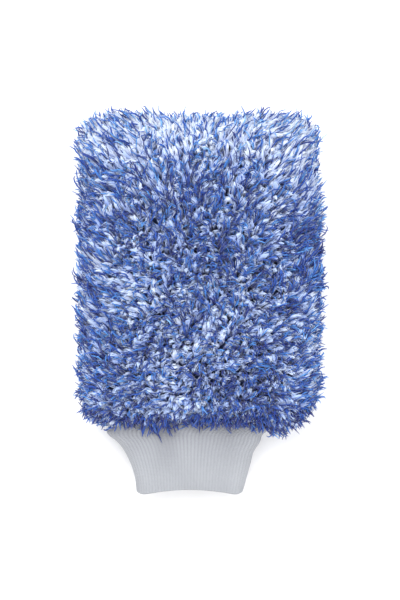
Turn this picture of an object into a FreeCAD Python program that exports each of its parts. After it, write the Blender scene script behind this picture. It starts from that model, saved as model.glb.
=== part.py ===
import FreeCAD, Part
import math
import os

import Sketcher
from FreeCAD import Vector

# A plush wash mitt lying on its back: X across the hand, +Y towards the fingertips, +Z up.
# The origin is under the middle of the mitt, on the surface it lies on. Millimetres.

SHEET = "Sizes"

# Driving dimensions, one spreadsheet cell each.
DRIVING_SIZES = {
    # the plush body, measured over the pile
    "seam_level": 29.0,
    "front_loft": 33.0,
    "pile_half_width": 96.0,
    "pile_wrist_end": -98.0,
    "pile_finger_end": 145.0,
    "pile_finger_corner": 30.0,
    "pile_wrist_corner": 32.0,
    "pile_edge_round": 24.0,
    # the knitted base cloth that carries the pile
    "cloth_half_width": 75.0,
    "cloth_wrist_end": -89.0,
    "cloth_finger_end": 124.0,
    "cloth_half_height": 12.0,
    "cloth_finger_corner": 24.0,
    "cloth_wrist_corner": 14.0,
    "cloth_edge_round": 11.0,
    "cloth_gauge": 1.2,
    "seam_allowance": 6.0,
    # the lining pocket that the hand goes into
    "lining_half_width": 66.5,
    "lining_wrist_end": -79.8,
    "lining_finger_end": 115.0,
    "lining_half_height": 10.3,
    "lining_finger_corner": 20.0,
    "lining_wrist_corner": 12.0,
    "lining_edge_round": 9.5,
    "lining_gauge": 0.8,
    # sewing threads
    "overlock_radius": 0.5,
    "lining_thread_radius": 0.35,
    "tack_radius": 0.4,
    "tack_offset": 44.0,
    "tack_pitch": 2.2,
    "thread_gap": 0.05,
    "shell_thread_start": -74.0,
    "lining_thread_start": -66.0,
    # the rib-knit cuff and the line that it flexes about
    "flex_line": -91.0,
    "band_start": -80.0,
    "band_end_radius": 10.0,
    "flex_clearance": 0.4,
    "cuff_wall": 3.0,
    "outer_ply": 1.3,
    "inner_ply": 1.1,
    "hem_fold": 2.0,
    "sewing_gap": 0.1,
    "mouth_start": -78.0,
    "root_half_width": 63.0,
    "root_half_height": 9.0,
    "elastic_gauge": 0.4,
    "elastic_width": 0.8,
    "elastic_pitch": 4.6,
    "elastic_count": 9.0,
    "elastic_hem_gap": 0.6,
}

# Stations down the cuff: distance along Y, sideways centre, centre over the seam level,
# half width and half height of the outer surface.
CUFF_STATIONS = (
    (-91.0, 0.0, 0.0, 63.0, 9.0),
    (-103.0, -2.5, -0.5, 58.0, 9.5),
    (-114.0, -8.0, -1.5, 48.5, 10.0),
    (-128.0, -8.0, -3.5, 43.5, 10.8),
    (-145.0, -8.0, -6.0, 41.0, 11.5),
)
STATION_NAMES = ("place", "sideways", "rise", "half_width", "half_height")

# Stations of the opening in the pile around the cuff: it flares so the cuff can flex.
PASSAGE_STATIONS = (
    (-79.0, 0.0, 0.0, 64.0, 9.2),
    (-88.0, 0.0, 0.0, 66.0, 11.5),
    (-99.5, 0.0, 0.0, 73.0, 20.0),
)

EDGE_TOLERANCE = 1e-4
FAR = 200.0


class Size:
    """A length that knows both its value and the sheet expression it comes from."""

    def __init__(self, value, text):
        self.value = value
        self.text = text

    def combine(self, other, sign, value):
        text = other.text if isinstance(other, Size) else repr(float(other))
        return Size(value, f"({self.text} {sign} {text})")

    def __add__(self, other):
        return self.combine(other, "+", self.value + number(other))

    def __sub__(self, other):
        return self.combine(other, "-", self.value - number(other))

    def __mul__(self, other):
        return self.combine(other, "*", self.value * number(other))

    def __neg__(self):
        return Size(-self.value, f"(-1 * {self.text})")


def number(size):
    return size.value if isinstance(size, Size) else float(size)


def station_alias(family, index, name):
    return f"{family}_{'abcdefgh'[index]}_{name}"


def make_sheet(doc):
    """Put every driving dimension in the sheet and return them by alias."""
    sheet = doc.addObject("Spreadsheet::Sheet", SHEET)
    rows = dict(DRIVING_SIZES)
    for family, stations in (("cuff", CUFF_STATIONS), ("passage", PASSAGE_STATIONS)):
        for index, station in enumerate(stations):
            for name, value in zip(STATION_NAMES, station):
                rows[station_alias(family, index, name)] = value
    sizes = {}
    for row, (alias, value) in enumerate(rows.items(), start=1):
        sheet.set(f"A{row}", alias)
        sheet.set(f"B{row}", str(value))
        sheet.setAlias(f"B{row}", alias)
        sizes[alias] = Size(value, f"{SHEET}.{alias}")
    doc.recompute()
    return sizes


# ---------------------------------------------------------------- sketches and features

def new_body(doc, label, several=False):
    body = doc.addObject("PartDesign::Body", label)
    body.Label = label
    body.AllowCompound = several
    return body


def new_sketch(body, name, role, offset=None):
    """Sketch on one of the body's own origin planes, moved along its normal by offset."""
    sketch = body.newObject("Sketcher::SketchObject", name)
    support = next(item for item in body.Origin.OriginFeatures if item.Role == role)
    sketch.AttachmentSupport = [(support, "")]
    sketch.MapMode = "FlatFace"
    if offset is not None:
        sketch.setExpression(".AttachmentOffset.Base.z", offset.text)
    return sketch


def dimension(sketch, kind, references, size):
    index = sketch.addConstraint(Sketcher.Constraint(kind, *references, size.value))
    sketch.setExpression(f"Constraints[{index}]", size.text)


def line(x_start, y_start, x_end, y_end):
    return Part.LineSegment(Vector(x_start, y_start, 0), Vector(x_end, y_end, 0))


def arc(x, y, radius, start, end):
    circle = Part.Circle(Vector(x, y, 0), Vector(0, 0, 1), radius)
    return Part.ArcOfCircle(circle, math.radians(start), math.radians(end))


def join_tangent(sketch, first, count, closed=True):
    for index in range(count if closed else count - 1):
        following = first + (index + 1) % count
        sketch.addConstraint(Sketcher.Constraint("Tangent", first + index, 2, following, 1))


def rounded_outline(sketch, half_width, wrist, finger, wrist_corner, finger_corner):
    """A rectangle with round corners, larger or smaller at its two ends."""
    first = sketch.GeometryCount
    wide, low, high = half_width.value, wrist.value, finger.value
    r_low, r_high = wrist_corner.value, finger_corner.value
    sketch.addGeometry([
        line(r_low - wide, low, wide - r_low, low),
        arc(wide - r_low, low + r_low, r_low, -90, 0),
        line(wide, low + r_low, wide, high - r_high),
        arc(wide - r_high, high - r_high, r_high, 0, 90),
        line(wide - r_high, high, r_high - wide, high),
        arc(r_high - wide, high - r_high, r_high, 90, 180),
        line(-wide, high - r_high, -wide, low + r_low),
        arc(r_low - wide, low + r_low, r_low, 180, 270),
    ], False)
    join_tangent(sketch, first, 8)
    for index, kind in enumerate(("Horizontal", "Vertical", "Horizontal", "Vertical")):
        sketch.addConstraint(Sketcher.Constraint(kind, first + 2 * index))
    sketch.addConstraint(Sketcher.Constraint("Equal", first + 1, first + 7))
    sketch.addConstraint(Sketcher.Constraint("Equal", first + 3, first + 5))
    dimension(sketch, "Radius", (first + 1,), wrist_corner)
    dimension(sketch, "Radius", (first + 3,), finger_corner)
    dimension(sketch, "DistanceX", (-1, 1, first + 2, 1), half_width)
    dimension(sketch, "DistanceX", (first + 6, 1, -1, 1), half_width)
    dimension(sketch, "DistanceY", (first, 1, -1, 1), -wrist)
    dimension(sketch, "DistanceY", (-1, 1, first + 4, 1), finger)


def slot_outline(sketch, sideways, level, half_width, half_height):
    """A flattened oval: two straight runs joined by half circles."""
    first = sketch.GeometryCount
    reach = half_width - half_height
    x, z, run, radius = sideways.value, level.value, reach.value, half_height.value
    sketch.addGeometry([
        line(x - run, z - radius, x + run, z - radius),
        arc(x + run, z, radius, -90, 90),
        line(x + run, z + radius, x - run, z + radius),
        arc(x - run, z, radius, 90, 270),
    ], False)
    join_tangent(sketch, first, 4)
    sketch.addConstraint(Sketcher.Constraint("Horizontal", first))
    sketch.addConstraint(Sketcher.Constraint("Equal", first + 1, first + 3))
    dimension(sketch, "Radius", (first + 1,), half_height)
    dimension(sketch, "DistanceX", (-1, 1, first + 1, 3), reach + sideways)
    dimension(sketch, "DistanceX", (first + 3, 3, -1, 1), reach - sideways)
    dimension(sketch, "DistanceY", (-1, 1, first + 1, 3), level)


def circle_outline(sketch, x, y, radius):
    first = sketch.GeometryCount
    sketch.addGeometry(Part.Circle(Vector(x.value, y.value, 0), Vector(0, 0, 1), radius.value), False)
    dimension(sketch, "Radius", (first,), radius)
    if x.value < 0:
        dimension(sketch, "DistanceX", (first, 3, -1, 1), -x)
    else:
        dimension(sketch, "DistanceX", (-1, 1, first, 3), x)
    dimension(sketch, "DistanceY", (-1, 1, first, 3), y)


def pad(body, sketch, name, length, reverse=False):
    feature = body.newObject("PartDesign::Pad", name)
    feature.Profile = sketch
    feature.setExpression("Length", length.text)
    feature.Reversed = reverse
    body.Document.recompute()
    return feature


def pocket(body, sketch, name, length, reverse=False, both_ways=False):
    """Cut a sketch out of the body, and stop if the cut missed."""
    before = body.Shape.Volume
    feature = body.newObject("PartDesign::Pocket", name)
    feature.Profile = sketch
    feature.setExpression("Length", length.text)
    feature.Reversed = reverse
    feature.Midplane = both_ways
    body.Document.recompute()
    if feature.Shape.Volume >= before - EDGE_TOLERANCE:
        raise RuntimeError(f"{body.Label}: {name} cuts nothing")
    return feature


def fillet(body, base, name, edges, radius):
    feature = body.newObject("PartDesign::Fillet", name)
    feature.Base = (base, edges)
    feature.setExpression("Radius", radius.text)
    body.Document.recompute()
    return feature


def level_edges(shape, level, inside=FAR):
    """Names of the edges that lie at one height, within a distance of the middle line."""
    names = []
    for index, edge in enumerate(shape.Edges, start=1):
        box = edge.BoundBox
        flat = abs(box.ZMin - level) < EDGE_TOLERANCE and abs(box.ZMax - level) < EDGE_TOLERANCE
        if flat and max(abs(box.XMin), abs(box.XMax)) < inside:
            names.append(f"Edge{index}")
    return names


def loft(body, kind, name, sketches, ruled=False):
    feature = body.newObject(f"PartDesign::{kind}", name)
    feature.Profile = sketches[0]
    feature.Sections = sketches[1:]
    feature.Ruled = ruled
    body.Document.recompute()
    return feature


def station(sizes, family, index):
    return [sizes[station_alias(family, index, name)] for name in STATION_NAMES]


def slot_sections(body, sizes, family, count, insets):
    """One sketch per station, with one oval for each inset from the outer surface."""
    sketches = []
    for index in range(count):
        place, sideways, rise, half_width, half_height = station(sizes, family, index)
        sketch = new_sketch(body, f"{family}_section", "XZ_Plane", -place)
        for inset in insets:
            slot_outline(sketch, sideways, sizes["seam_level"] + rise,
                         half_width - inset, half_height - inset)
        sketches.append(sketch)
    return sketches


def seam_path(sketch, half_width, start, finger, corner):
    """An open U along a seam: up one side, round the finger end and down the other."""
    wide, low, high, radius = half_width.value, start.value, finger.value, corner.value
    sketch.addGeometry([
        line(wide, low, wide, high - radius),
        arc(wide - radius, high - radius, radius, 0, 90),
        line(wide - radius, high, radius - wide, high),
        arc(radius - wide, high - radius, radius, 90, 180),
        line(-wide, high - radius, -wide, low),
    ], False)
    join_tangent(sketch, 0, 5, closed=False)
    for index, kind in ((0, "Vertical"), (2, "Horizontal"), (4, "Vertical")):
        sketch.addConstraint(Sketcher.Constraint(kind, index))
    sketch.addConstraint(Sketcher.Constraint("Equal", 1, 3))
    dimension(sketch, "Radius", (1,), corner)
    dimension(sketch, "DistanceX", (-1, 1, 0, 1), half_width)
    dimension(sketch, "DistanceX", (4, 2, -1, 1), half_width)
    dimension(sketch, "DistanceY", (0, 1, -1, 1), -start)
    dimension(sketch, "DistanceY", (4, 2, -1, 1), -start)
    dimension(sketch, "DistanceY", (-1, 1, 2, 1), finger)


# ---------------------------------------------------------------- the mitt's pieces

def pile_half(doc, sizes, label, loft_height, downward):
    """Half of the plush pile: a thick rounded skin around the base cloth."""
    body = new_body(doc, label)
    seam = sizes["seam_level"]
    side = -1.0 if downward else 1.0
    outline = new_sketch(body, "pile_outline", "XY_Plane", seam)
    rounded_outline(outline, sizes["pile_half_width"], sizes["pile_wrist_end"],
                    sizes["pile_finger_end"], sizes["pile_wrist_corner"],
                    sizes["pile_finger_corner"])
    block = pad(body, outline, "pile_block", loft_height, reverse=downward)
    crown = seam.value + side * loft_height.value
    fillet(body, block, "pile_edge", level_edges(block.Shape, crown), sizes["pile_edge_round"])

    hollow = new_sketch(body, "cloth_outline", "XY_Plane", seam)
    rounded_outline(hollow, sizes["cloth_half_width"], sizes["cloth_wrist_end"],
                    sizes["cloth_finger_end"], sizes["cloth_wrist_corner"],
                    sizes["cloth_finger_corner"])
    cavity = pocket(body, hollow, "cloth_hollow", sizes["cloth_half_height"], reverse=not downward)
    ceiling = seam.value + side * sizes["cloth_half_height"].value
    rim = level_edges(cavity.Shape, ceiling, inside=sizes["cloth_half_width"].value + 1.0)
    fillet(body, cavity, "cloth_hollow_edge", rim, sizes["cloth_edge_round"])

    sections = []
    for index in range(len(PASSAGE_STATIONS)):
        place, sideways, rise, half_width, half_height = station(sizes, "passage", index)
        sketch = new_sketch(body, "passage_section", "XZ_Plane", -place)
        slot_outline(sketch, sideways, seam + rise, half_width, half_height)
        sections.append(sketch)
    loft(body, "SubtractiveLoft", "cuff_passage", sections, ruled=True)
    return body


def pillow_half(doc, sizes, label, family, downward, mouth):
    """Half of a thin sewn pocket, open at the seam and with a mouth at the wrist.

    family names the sheet's sizes; mouth is the half width and half height of the opening.
    """
    body = new_body(doc, label)
    seam = sizes["seam_level"]
    side = -1.0 if downward else 1.0
    half_width, half_height = sizes[f"{family}_half_width"], sizes[f"{family}_half_height"]
    wrist, finger = sizes[f"{family}_wrist_end"], sizes[f"{family}_finger_end"]
    wrist_corner, finger_corner = sizes[f"{family}_wrist_corner"], sizes[f"{family}_finger_corner"]
    gauge, edge_round = sizes[f"{family}_gauge"], sizes[f"{family}_edge_round"]

    outline = new_sketch(body, "outline", "XY_Plane", seam)
    rounded_outline(outline, half_width, wrist, finger, wrist_corner, finger_corner)
    block = pad(body, outline, "block", half_height, reverse=downward)
    crown = seam.value + side * half_height.value
    rounded = fillet(body, block, "edge", level_edges(block.Shape, crown), edge_round)

    solid_volume = body.Shape.Volume
    seam_face = next(f"Face{index}" for index, face in enumerate(body.Shape.Faces, start=1)
                     if abs(face.BoundBox.ZMax - seam.value) < EDGE_TOLERANCE
                     and abs(face.BoundBox.ZMin - seam.value) < EDGE_TOLERANCE)
    skin = body.newObject("PartDesign::Thickness", "skin")
    skin.Base = (rounded, [seam_face])
    skin.setExpression("Value", gauge.text)
    skin.Join = "Intersection"
    skin.Reversed = True
    doc.recompute()
    if skin.Shape.Volume >= solid_volume:
        raise RuntimeError(f"{label}: the skin was thickened outwards")

    if family == "cloth":
        allowance = sizes["seam_allowance"]
        flange = new_sketch(body, "allowance_outline", "XY_Plane", seam)
        for inset in (gauge * 0.5, allowance):
            rounded_outline(flange, half_width - inset, wrist + inset, finger - inset,
                            wrist_corner - inset, finger_corner - inset)
        pad(body, flange, "allowance", gauge, reverse=downward)

    opening = new_sketch(body, "mouth_outline", "XZ_Plane", -sizes["mouth_start"])
    slot_outline(opening, seam * 0.0, seam, *mouth)
    pocket(body, opening, "mouth", seam, reverse=True)
    return body


def seam_thread(doc, sizes, label, inset_width, finger, corner, radius, start):
    """A row of stitches shown as the bead of thread that runs along a seam."""
    body = new_body(doc, label)
    seam = sizes["seam_level"]
    path = new_sketch(body, "seam_line", "XY_Plane", seam)
    seam_path(path, inset_width, start, finger, corner)
    section = new_sketch(body, "thread_section", "XZ_Plane", -start)
    circle_outline(section, inset_width, seam, radius)
    pipe = body.newObject("PartDesign::AdditivePipe", "thread")
    pipe.Profile = section
    pipe.Spine = (path, [f"Edge{index}" for index in range(1, 6)])
    pipe.Transition = "Transformed"
    doc.recompute()
    return body


def cuff_join_thread(doc, sizes):
    """The overlock bead around the cuff's sewn end, under the base cloth."""
    body = new_body(doc, "cuff_join_thread")
    seam = sizes["seam_level"]
    radius = sizes["overlock_radius"]
    outline = new_sketch(body, "bead_outline", "XZ_Plane", -sizes["band_start"])
    wide, tall = sizes["root_half_width"], sizes["root_half_height"]
    for spread in (radius * 0.1, radius * 1.9):
        slot_outline(outline, seam * 0.0, seam, wide + spread, tall + spread)
    bead = pad(body, outline, "bead", radius * 2.0)
    edges = [f"Edge{index}" for index, edge in enumerate(bead.Shape.Edges, start=1)
             if abs(edge.BoundBox.YMax - edge.BoundBox.YMin) < EDGE_TOLERANCE]
    fillet(body, bead, "bead_round", edges, radius * 0.6)
    return body


def lining_tack_threads(doc, sizes):
    """Short tacks that hold the lining's fingertips to the shell's seam allowance."""
    body = new_body(doc, "lining_tack_threads", several=True)
    start = sizes["lining_finger_end"] + sizes["thread_gap"]
    level = sizes["seam_level"] + sizes["overlock_radius"] + sizes["tack_radius"] + sizes["sewing_gap"]
    length = sizes["cloth_finger_end"] - sizes["seam_allowance"] - start
    sketch = new_sketch(body, "tack_sections", "XZ_Plane", -start)
    for place in (-1.0, 1.0):
        for step in (-1.0, 0.0, 1.0):
            x = sizes["tack_offset"] * place + sizes["tack_pitch"] * step
            circle_outline(sketch, x, level, sizes["tack_radius"])
    pad(body, sketch, "tacks", length, reverse=True)
    return body


def cuff_seam_band(doc, sizes):
    """The cuff's sewn end, fixed in the mitt, with its free edge rounded about the flex line."""
    body = new_body(doc, "cuff_seam_band")
    seam = sizes["seam_level"]
    wide, tall, wall = sizes["root_half_width"], sizes["root_half_height"], sizes["cuff_wall"]
    length = sizes["band_start"] - sizes["flex_line"] + sizes["band_end_radius"]
    outline = new_sketch(body, "band_outline", "XZ_Plane", -sizes["band_start"])
    for inset in (wall * 0.0, wall):
        slot_outline(outline, seam * 0.0, seam, wide - inset, tall - inset)
    pad(body, outline, "band", length)

    trim = new_sketch(body, "flex_trim", "YZ_Plane")
    radius, middle, level = sizes["band_end_radius"], sizes["flex_line"], seam
    r, y, z = radius.value, middle.value, level.value
    trim.addGeometry([
        arc(y, z, r, 90, 270),
        line(y, z - r, y, z - 2 * r),
        line(y, z - 2 * r, y - 2 * r, z - 2 * r),
        line(y - 2 * r, z - 2 * r, y - 2 * r, z + 2 * r),
        line(y - 2 * r, z + 2 * r, y, z + 2 * r),
        line(y, z + 2 * r, y, z + r),
    ], False)
    for index in range(6):
        link = Sketcher.Constraint("Coincident", index, 2, (index + 1) % 6, 1)
        trim.addConstraint(link)
    for index, kind in ((1, "Vertical"), (2, "Horizontal"), (3, "Vertical"), (4, "Horizontal"),
                        (5, "Vertical")):
        trim.addConstraint(Sketcher.Constraint(kind, index))
    dimension(trim, "Radius", (0,), radius)
    dimension(trim, "DistanceX", (0, 3, -1, 1), -middle)
    dimension(trim, "DistanceX", (0, 1, -1, 1), -middle)
    dimension(trim, "DistanceY", (-1, 1, 0, 3), level)
    dimension(trim, "DistanceX", (2, 2, 2, 1), radius * 2.0)
    dimension(trim, "DistanceY", (1, 2, 1, 1), radius)
    dimension(trim, "DistanceY", (5, 2, 5, 1), radius)
    pocket(body, trim, "flex_edge", wide * 3.0, both_ways=True)
    return body


def cuff_sleeve(doc, sizes):
    """The rib-knit cuff: two plies folded at the hem, with room for the elastic between."""
    body = new_body(doc, "cuff_sleeve", several=True)
    count = len(CUFF_STATIONS)
    wall, outer_ply, inner_ply = sizes["cuff_wall"], sizes["outer_ply"], sizes["inner_ply"]
    nothing = wall * 0.0
    loft(body, "AdditiveLoft", "outside", slot_sections(body, sizes, "cuff", count, [nothing]))
    loft(body, "SubtractiveLoft", "inside", slot_sections(body, sizes, "cuff", count, [wall]))
    insets = [outer_ply, wall - inner_ply]
    loft(body, "SubtractiveLoft", "between_plies", slot_sections(body, sizes, "cuff", count, insets))

    place, sideways, rise, half_width, half_height = station(sizes, "cuff", count - 1)
    hem = new_sketch(body, "hem_outline", "XZ_Plane", -place)
    for inset in (outer_ply * 0.5, wall - inner_ply * 0.5):
        slot_outline(hem, sideways, sizes["seam_level"] + rise, half_width - inset,
                     half_height - inset)
    pad(body, hem, "hem", sizes["hem_fold"], reverse=True)

    trim = new_sketch(body, "flex_trim", "YZ_Plane")
    circle_outline(trim, sizes["flex_line"], sizes["seam_level"],
                   sizes["band_end_radius"] + sizes["flex_clearance"])
    pocket(body, trim, "flex_edge", sizes["root_half_width"] * 3.0, both_ways=True)
    return body


def cuff_elastic(doc, sizes):
    """Elastic threads laid round the cuff between its plies, one ring every few millimetres."""
    body = new_body(doc, "cuff_elastic", several=True)
    count = len(CUFF_STATIONS)
    outer = sizes["outer_ply"] + (sizes["cuff_wall"] - sizes["outer_ply"] - sizes["inner_ply"]
                                  - sizes["elastic_gauge"]) * 0.5
    insets = [outer, outer + sizes["elastic_gauge"]]
    loft(body, "AdditiveLoft", "threads", slot_sections(body, sizes, "cuff", count, insets))

    seam, pitch, width = sizes["seam_level"], sizes["elastic_pitch"], sizes["elastic_width"]
    hem_edge = sizes["cuff_e_place"] + sizes["hem_fold"] + sizes["elastic_hem_gap"]
    sketch = new_sketch(body, "gap_outline", "YZ_Plane")
    rings = int(sizes["elastic_count"].value)
    edges = [(hem_edge - pitch, hem_edge)]
    for ring in range(rings):
        low = hem_edge + pitch * float(ring) + width
        high = hem_edge + pitch * float(ring + 1) if ring < rings - 1 else seam
        edges.append((low, high))
    for low, high in edges:
        gap_rectangle(sketch, low, high, seam)
    pocket(body, sketch, "gaps", sizes["root_half_width"] * 3.0, both_ways=True)
    return body


def gap_rectangle(sketch, low, high, top):
    """A rectangle from one place along the cuff to another, from the floor to twice the top."""
    first = sketch.GeometryCount
    tall = top.value * 2.0
    sketch.addGeometry([
        line(low.value, 0.0, high.value, 0.0),
        line(high.value, 0.0, high.value, tall),
        line(high.value, tall, low.value, tall),
        line(low.value, tall, low.value, 0.0),
    ], False)
    for index in range(4):
        following = first + (index + 1) % 4
        sketch.addConstraint(Sketcher.Constraint("Coincident", first + index, 2, following, 1))
    for index, kind in enumerate(("Horizontal", "Vertical", "Horizontal", "Vertical")):
        sketch.addConstraint(Sketcher.Constraint(kind, first + index))
    sketch.addConstraint(Sketcher.Constraint("PointOnObject", first, 1, -1))
    dimension(sketch, "DistanceX", (first, 1, -1, 1), -low)
    if high.value < 0:
        dimension(sketch, "DistanceX", (first, 2, -1, 1), -high)
    else:
        dimension(sketch, "DistanceX", (-1, 1, first, 2), high)
    dimension(sketch, "DistanceY", (first + 1, 1, first + 1, 2), top * 2.0)


# ---------------------------------------------------------------- building and writing

def build(doc):
    """Make every piece of the mitt and return their bodies in order."""
    sizes = make_sheet(doc)
    gap = sizes["sewing_gap"]
    root_mouth = (sizes["root_half_width"] + gap, sizes["root_half_height"] + gap)
    wall = sizes["cuff_wall"]
    hand_mouth = (sizes["root_half_width"] - wall, sizes["root_half_height"] - wall)
    pieces = [
        pile_half(doc, sizes, "front_pile", sizes["front_loft"], downward=False),
        pile_half(doc, sizes, "back_pile", sizes["seam_level"], downward=True),
        pillow_half(doc, sizes, "front_base_cloth", "cloth", False, root_mouth),
        pillow_half(doc, sizes, "back_base_cloth", "cloth", True, root_mouth),
        pillow_half(doc, sizes, "front_lining", "lining", False, hand_mouth),
        pillow_half(doc, sizes, "back_lining", "lining", True, hand_mouth),
    ]
    overlock = sizes["overlock_radius"]
    allowance = sizes["seam_allowance"] + overlock + gap
    fine = sizes["lining_thread_radius"]
    outside = fine + sizes["thread_gap"]
    pieces.append(seam_thread(doc, sizes, "shell_seam_thread",
                              sizes["cloth_half_width"] - allowance,
                              sizes["cloth_finger_end"] - allowance,
                              sizes["cloth_finger_corner"] - allowance,
                              overlock, sizes["shell_thread_start"]))
    pieces.append(seam_thread(doc, sizes, "lining_seam_thread",
                              sizes["lining_half_width"] + outside,
                              sizes["lining_finger_end"] + outside,
                              sizes["lining_finger_corner"] + outside,
                              fine, sizes["lining_thread_start"]))
    pieces.append(lining_tack_threads(doc, sizes))
    pieces.append(cuff_join_thread(doc, sizes))
    pieces.append(cuff_seam_band(doc, sizes))
    pieces.append(cuff_sleeve(doc, sizes))
    pieces.append(cuff_elastic(doc, sizes))
    return pieces


def check(doc, pieces):
    """Stop if any object failed or any piece is not a sound closed solid."""
    for item in doc.Objects:
        if "Invalid" in item.State or "Error" in item.State:
            raise RuntimeError(f"{item.Label} failed: {item.State}")
    for piece in pieces:
        shape = piece.Shape
        if shape.isNull() or not shape.isValid() or not shape.Solids:
            raise RuntimeError(f"{piece.Label} is not a valid solid")
        box = shape.optimalBoundingBox()
        print(f"{piece.Label:22s} solids {len(shape.Solids):3d} volume {shape.Volume:11.1f} "
              f"X {box.XMin:7.2f} {box.XMax:7.2f}  Y {box.YMin:8.2f} {box.YMax:7.2f}  "
              f"Z {box.ZMin:6.2f} {box.ZMax:6.2f}")


def main():
    doc = FreeCAD.newDocument("wash_mitt")
    pieces = build(doc)
    doc.recompute()
    check(doc, pieces)
    os.makedirs("parts", exist_ok=True)
    for piece in pieces:
        piece.Shape.exportStep(os.path.join("parts", f"{piece.Label}.step"))


main()
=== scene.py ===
"""Looks of a plush wash mitt: strand pile, sewn cloths, a rib-knit cuff and its stitches.

Every length is in metres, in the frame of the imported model: X across the hand, +Y towards
the fingertips and +Z up. The mitt lies on its back on z = 0.
"""

import logging
import math
from dataclasses import dataclass
from enum import Enum

import bmesh
import bpy
import numpy as np
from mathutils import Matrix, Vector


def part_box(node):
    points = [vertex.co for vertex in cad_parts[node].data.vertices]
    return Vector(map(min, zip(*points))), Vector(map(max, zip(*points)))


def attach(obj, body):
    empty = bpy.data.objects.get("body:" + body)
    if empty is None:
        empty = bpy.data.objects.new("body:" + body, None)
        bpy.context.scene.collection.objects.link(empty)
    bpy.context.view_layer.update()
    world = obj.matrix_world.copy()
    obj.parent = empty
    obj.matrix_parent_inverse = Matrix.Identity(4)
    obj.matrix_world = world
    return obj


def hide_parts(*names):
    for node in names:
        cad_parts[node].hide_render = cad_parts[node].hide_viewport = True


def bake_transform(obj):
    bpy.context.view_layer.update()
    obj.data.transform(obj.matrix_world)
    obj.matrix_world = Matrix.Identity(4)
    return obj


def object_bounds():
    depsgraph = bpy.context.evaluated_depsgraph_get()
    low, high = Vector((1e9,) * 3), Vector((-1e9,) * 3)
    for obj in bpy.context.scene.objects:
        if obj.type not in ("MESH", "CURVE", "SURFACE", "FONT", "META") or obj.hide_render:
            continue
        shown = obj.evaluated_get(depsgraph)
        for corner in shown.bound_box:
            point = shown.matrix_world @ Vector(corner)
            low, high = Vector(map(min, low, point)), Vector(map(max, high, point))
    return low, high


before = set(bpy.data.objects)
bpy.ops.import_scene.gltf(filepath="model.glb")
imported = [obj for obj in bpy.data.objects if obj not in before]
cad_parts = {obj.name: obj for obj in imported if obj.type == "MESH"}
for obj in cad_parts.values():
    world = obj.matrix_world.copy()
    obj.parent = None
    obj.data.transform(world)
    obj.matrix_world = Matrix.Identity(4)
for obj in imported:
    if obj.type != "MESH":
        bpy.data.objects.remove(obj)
CAD_BOX = [list(corner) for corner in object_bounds()]

LOG = logging.getLogger("wash_mitt")
MITT, CUFF = "mitt", "cuff"
MM = 0.001
OUTLINE_RUNS = 8
Array = np.ndarray
Shade = tuple[float, str]


# ------------------------------------------------------------------ small helpers

def linear_colour(hex_code: str) -> tuple[float, float, float, float]:
    """Turn a display colour into the linear colour that shaders use.

    Args:
        hex_code: Six hexadecimal digits, red first.

    Returns:
        Linear red, green and blue, with an alpha of one.
    """
    channels = (int(hex_code[i:i + 2], 16) / 255.0 for i in (0, 2, 4))
    red, green, blue = (c / 12.92 if c <= 0.04045 else ((c + 0.055) / 1.055) ** 2.4
                        for c in channels)
    return red, green, blue, 1.0


def unit(vectors: Array) -> Array:
    """Scale each vector of the last axis to length one."""
    return vectors / np.maximum(np.linalg.norm(vectors, axis=-1, keepdims=True), 1e-12)


def mix(low: Array, high: Array, share: Array) -> Array:
    """Blend row by row from low to high."""
    return low + (high - low) * share[:, None]


def square_part(vectors: Array, directions: Array) -> Array:
    """The part of each vector that is square to its unit direction."""
    return vectors - directions * (vectors * directions).sum(1, keepdims=True)


def distance_along(path: Array) -> Array:
    """Distance travelled down a line of points, from zero at its first point."""
    steps = np.linalg.norm(np.diff(path, axis=0), axis=1)
    return np.concatenate([[0.0], np.cumsum(steps)])


def drift(points: Array, wavelength: float, seed: int, outputs: int = 1) -> Array:
    """Smooth noise with no lattice: a sum of plane waves in random directions.

    Args:
        points: Places, one row each.
        wavelength: The typical distance between two crests.
        seed: The seed of the waves.
        outputs: How many separate noises to make.

    Returns:
        Values of about -1 to 1, one column for each output.
    """
    random = np.random.default_rng(seed)
    waves = 7
    total = np.zeros((len(points), outputs))
    for column in range(outputs):
        for _ in range(waves):
            direction = unit(random.normal(size=3)) * random.uniform(0.6, 1.5)
            phase = random.uniform(0.0, 2.0 * math.pi)
            total[:, column] += np.sin(points @ direction * 2.0 * math.pi / wavelength + phase)
    return total * (1.6 / waves)


def new_piece(name: str, material: bpy.types.Material, vertices: Array, faces: Array,
              sizes: Array, attributes: dict[str, Array] | None = None) -> bpy.types.Object:
    """Make a smooth mesh object from flat arrays.

    Args:
        name: The piece's name.
        material: Its only material.
        vertices: One row per vertex.
        faces: The corners of all faces, one face after another.
        sizes: How many corners each face has.
        attributes: Values per vertex: one column makes a number, three make a vector.

    Returns:
        The object, linked to the scene.
    """
    mesh = bpy.data.meshes.new(name)
    mesh.vertices.add(len(vertices))
    mesh.vertices.foreach_set("co", np.ascontiguousarray(vertices, np.float32).ravel())
    mesh.loops.add(len(faces))
    mesh.loops.foreach_set("vertex_index", np.ascontiguousarray(faces, np.int32))
    mesh.polygons.add(len(sizes))
    starts = np.concatenate([[0], np.cumsum(sizes)[:-1]]).astype(np.int32)
    mesh.polygons.foreach_set("loop_start", starts)
    mesh.update(calc_edges=True)
    mesh.validate()
    mesh.shade_smooth()
    for key, values in (attributes or {}).items():
        kind, field = ("FLOAT_VECTOR", "vector") if values.ndim == 2 else ("FLOAT", "value")
        layer = mesh.attributes.new(key, kind, "POINT")
        layer.data.foreach_set(field, np.ascontiguousarray(values, np.float32).ravel())
    mesh.materials.append(material)
    piece = bpy.data.objects.new(name, mesh)
    bpy.context.scene.collection.objects.link(piece)
    return piece


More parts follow.
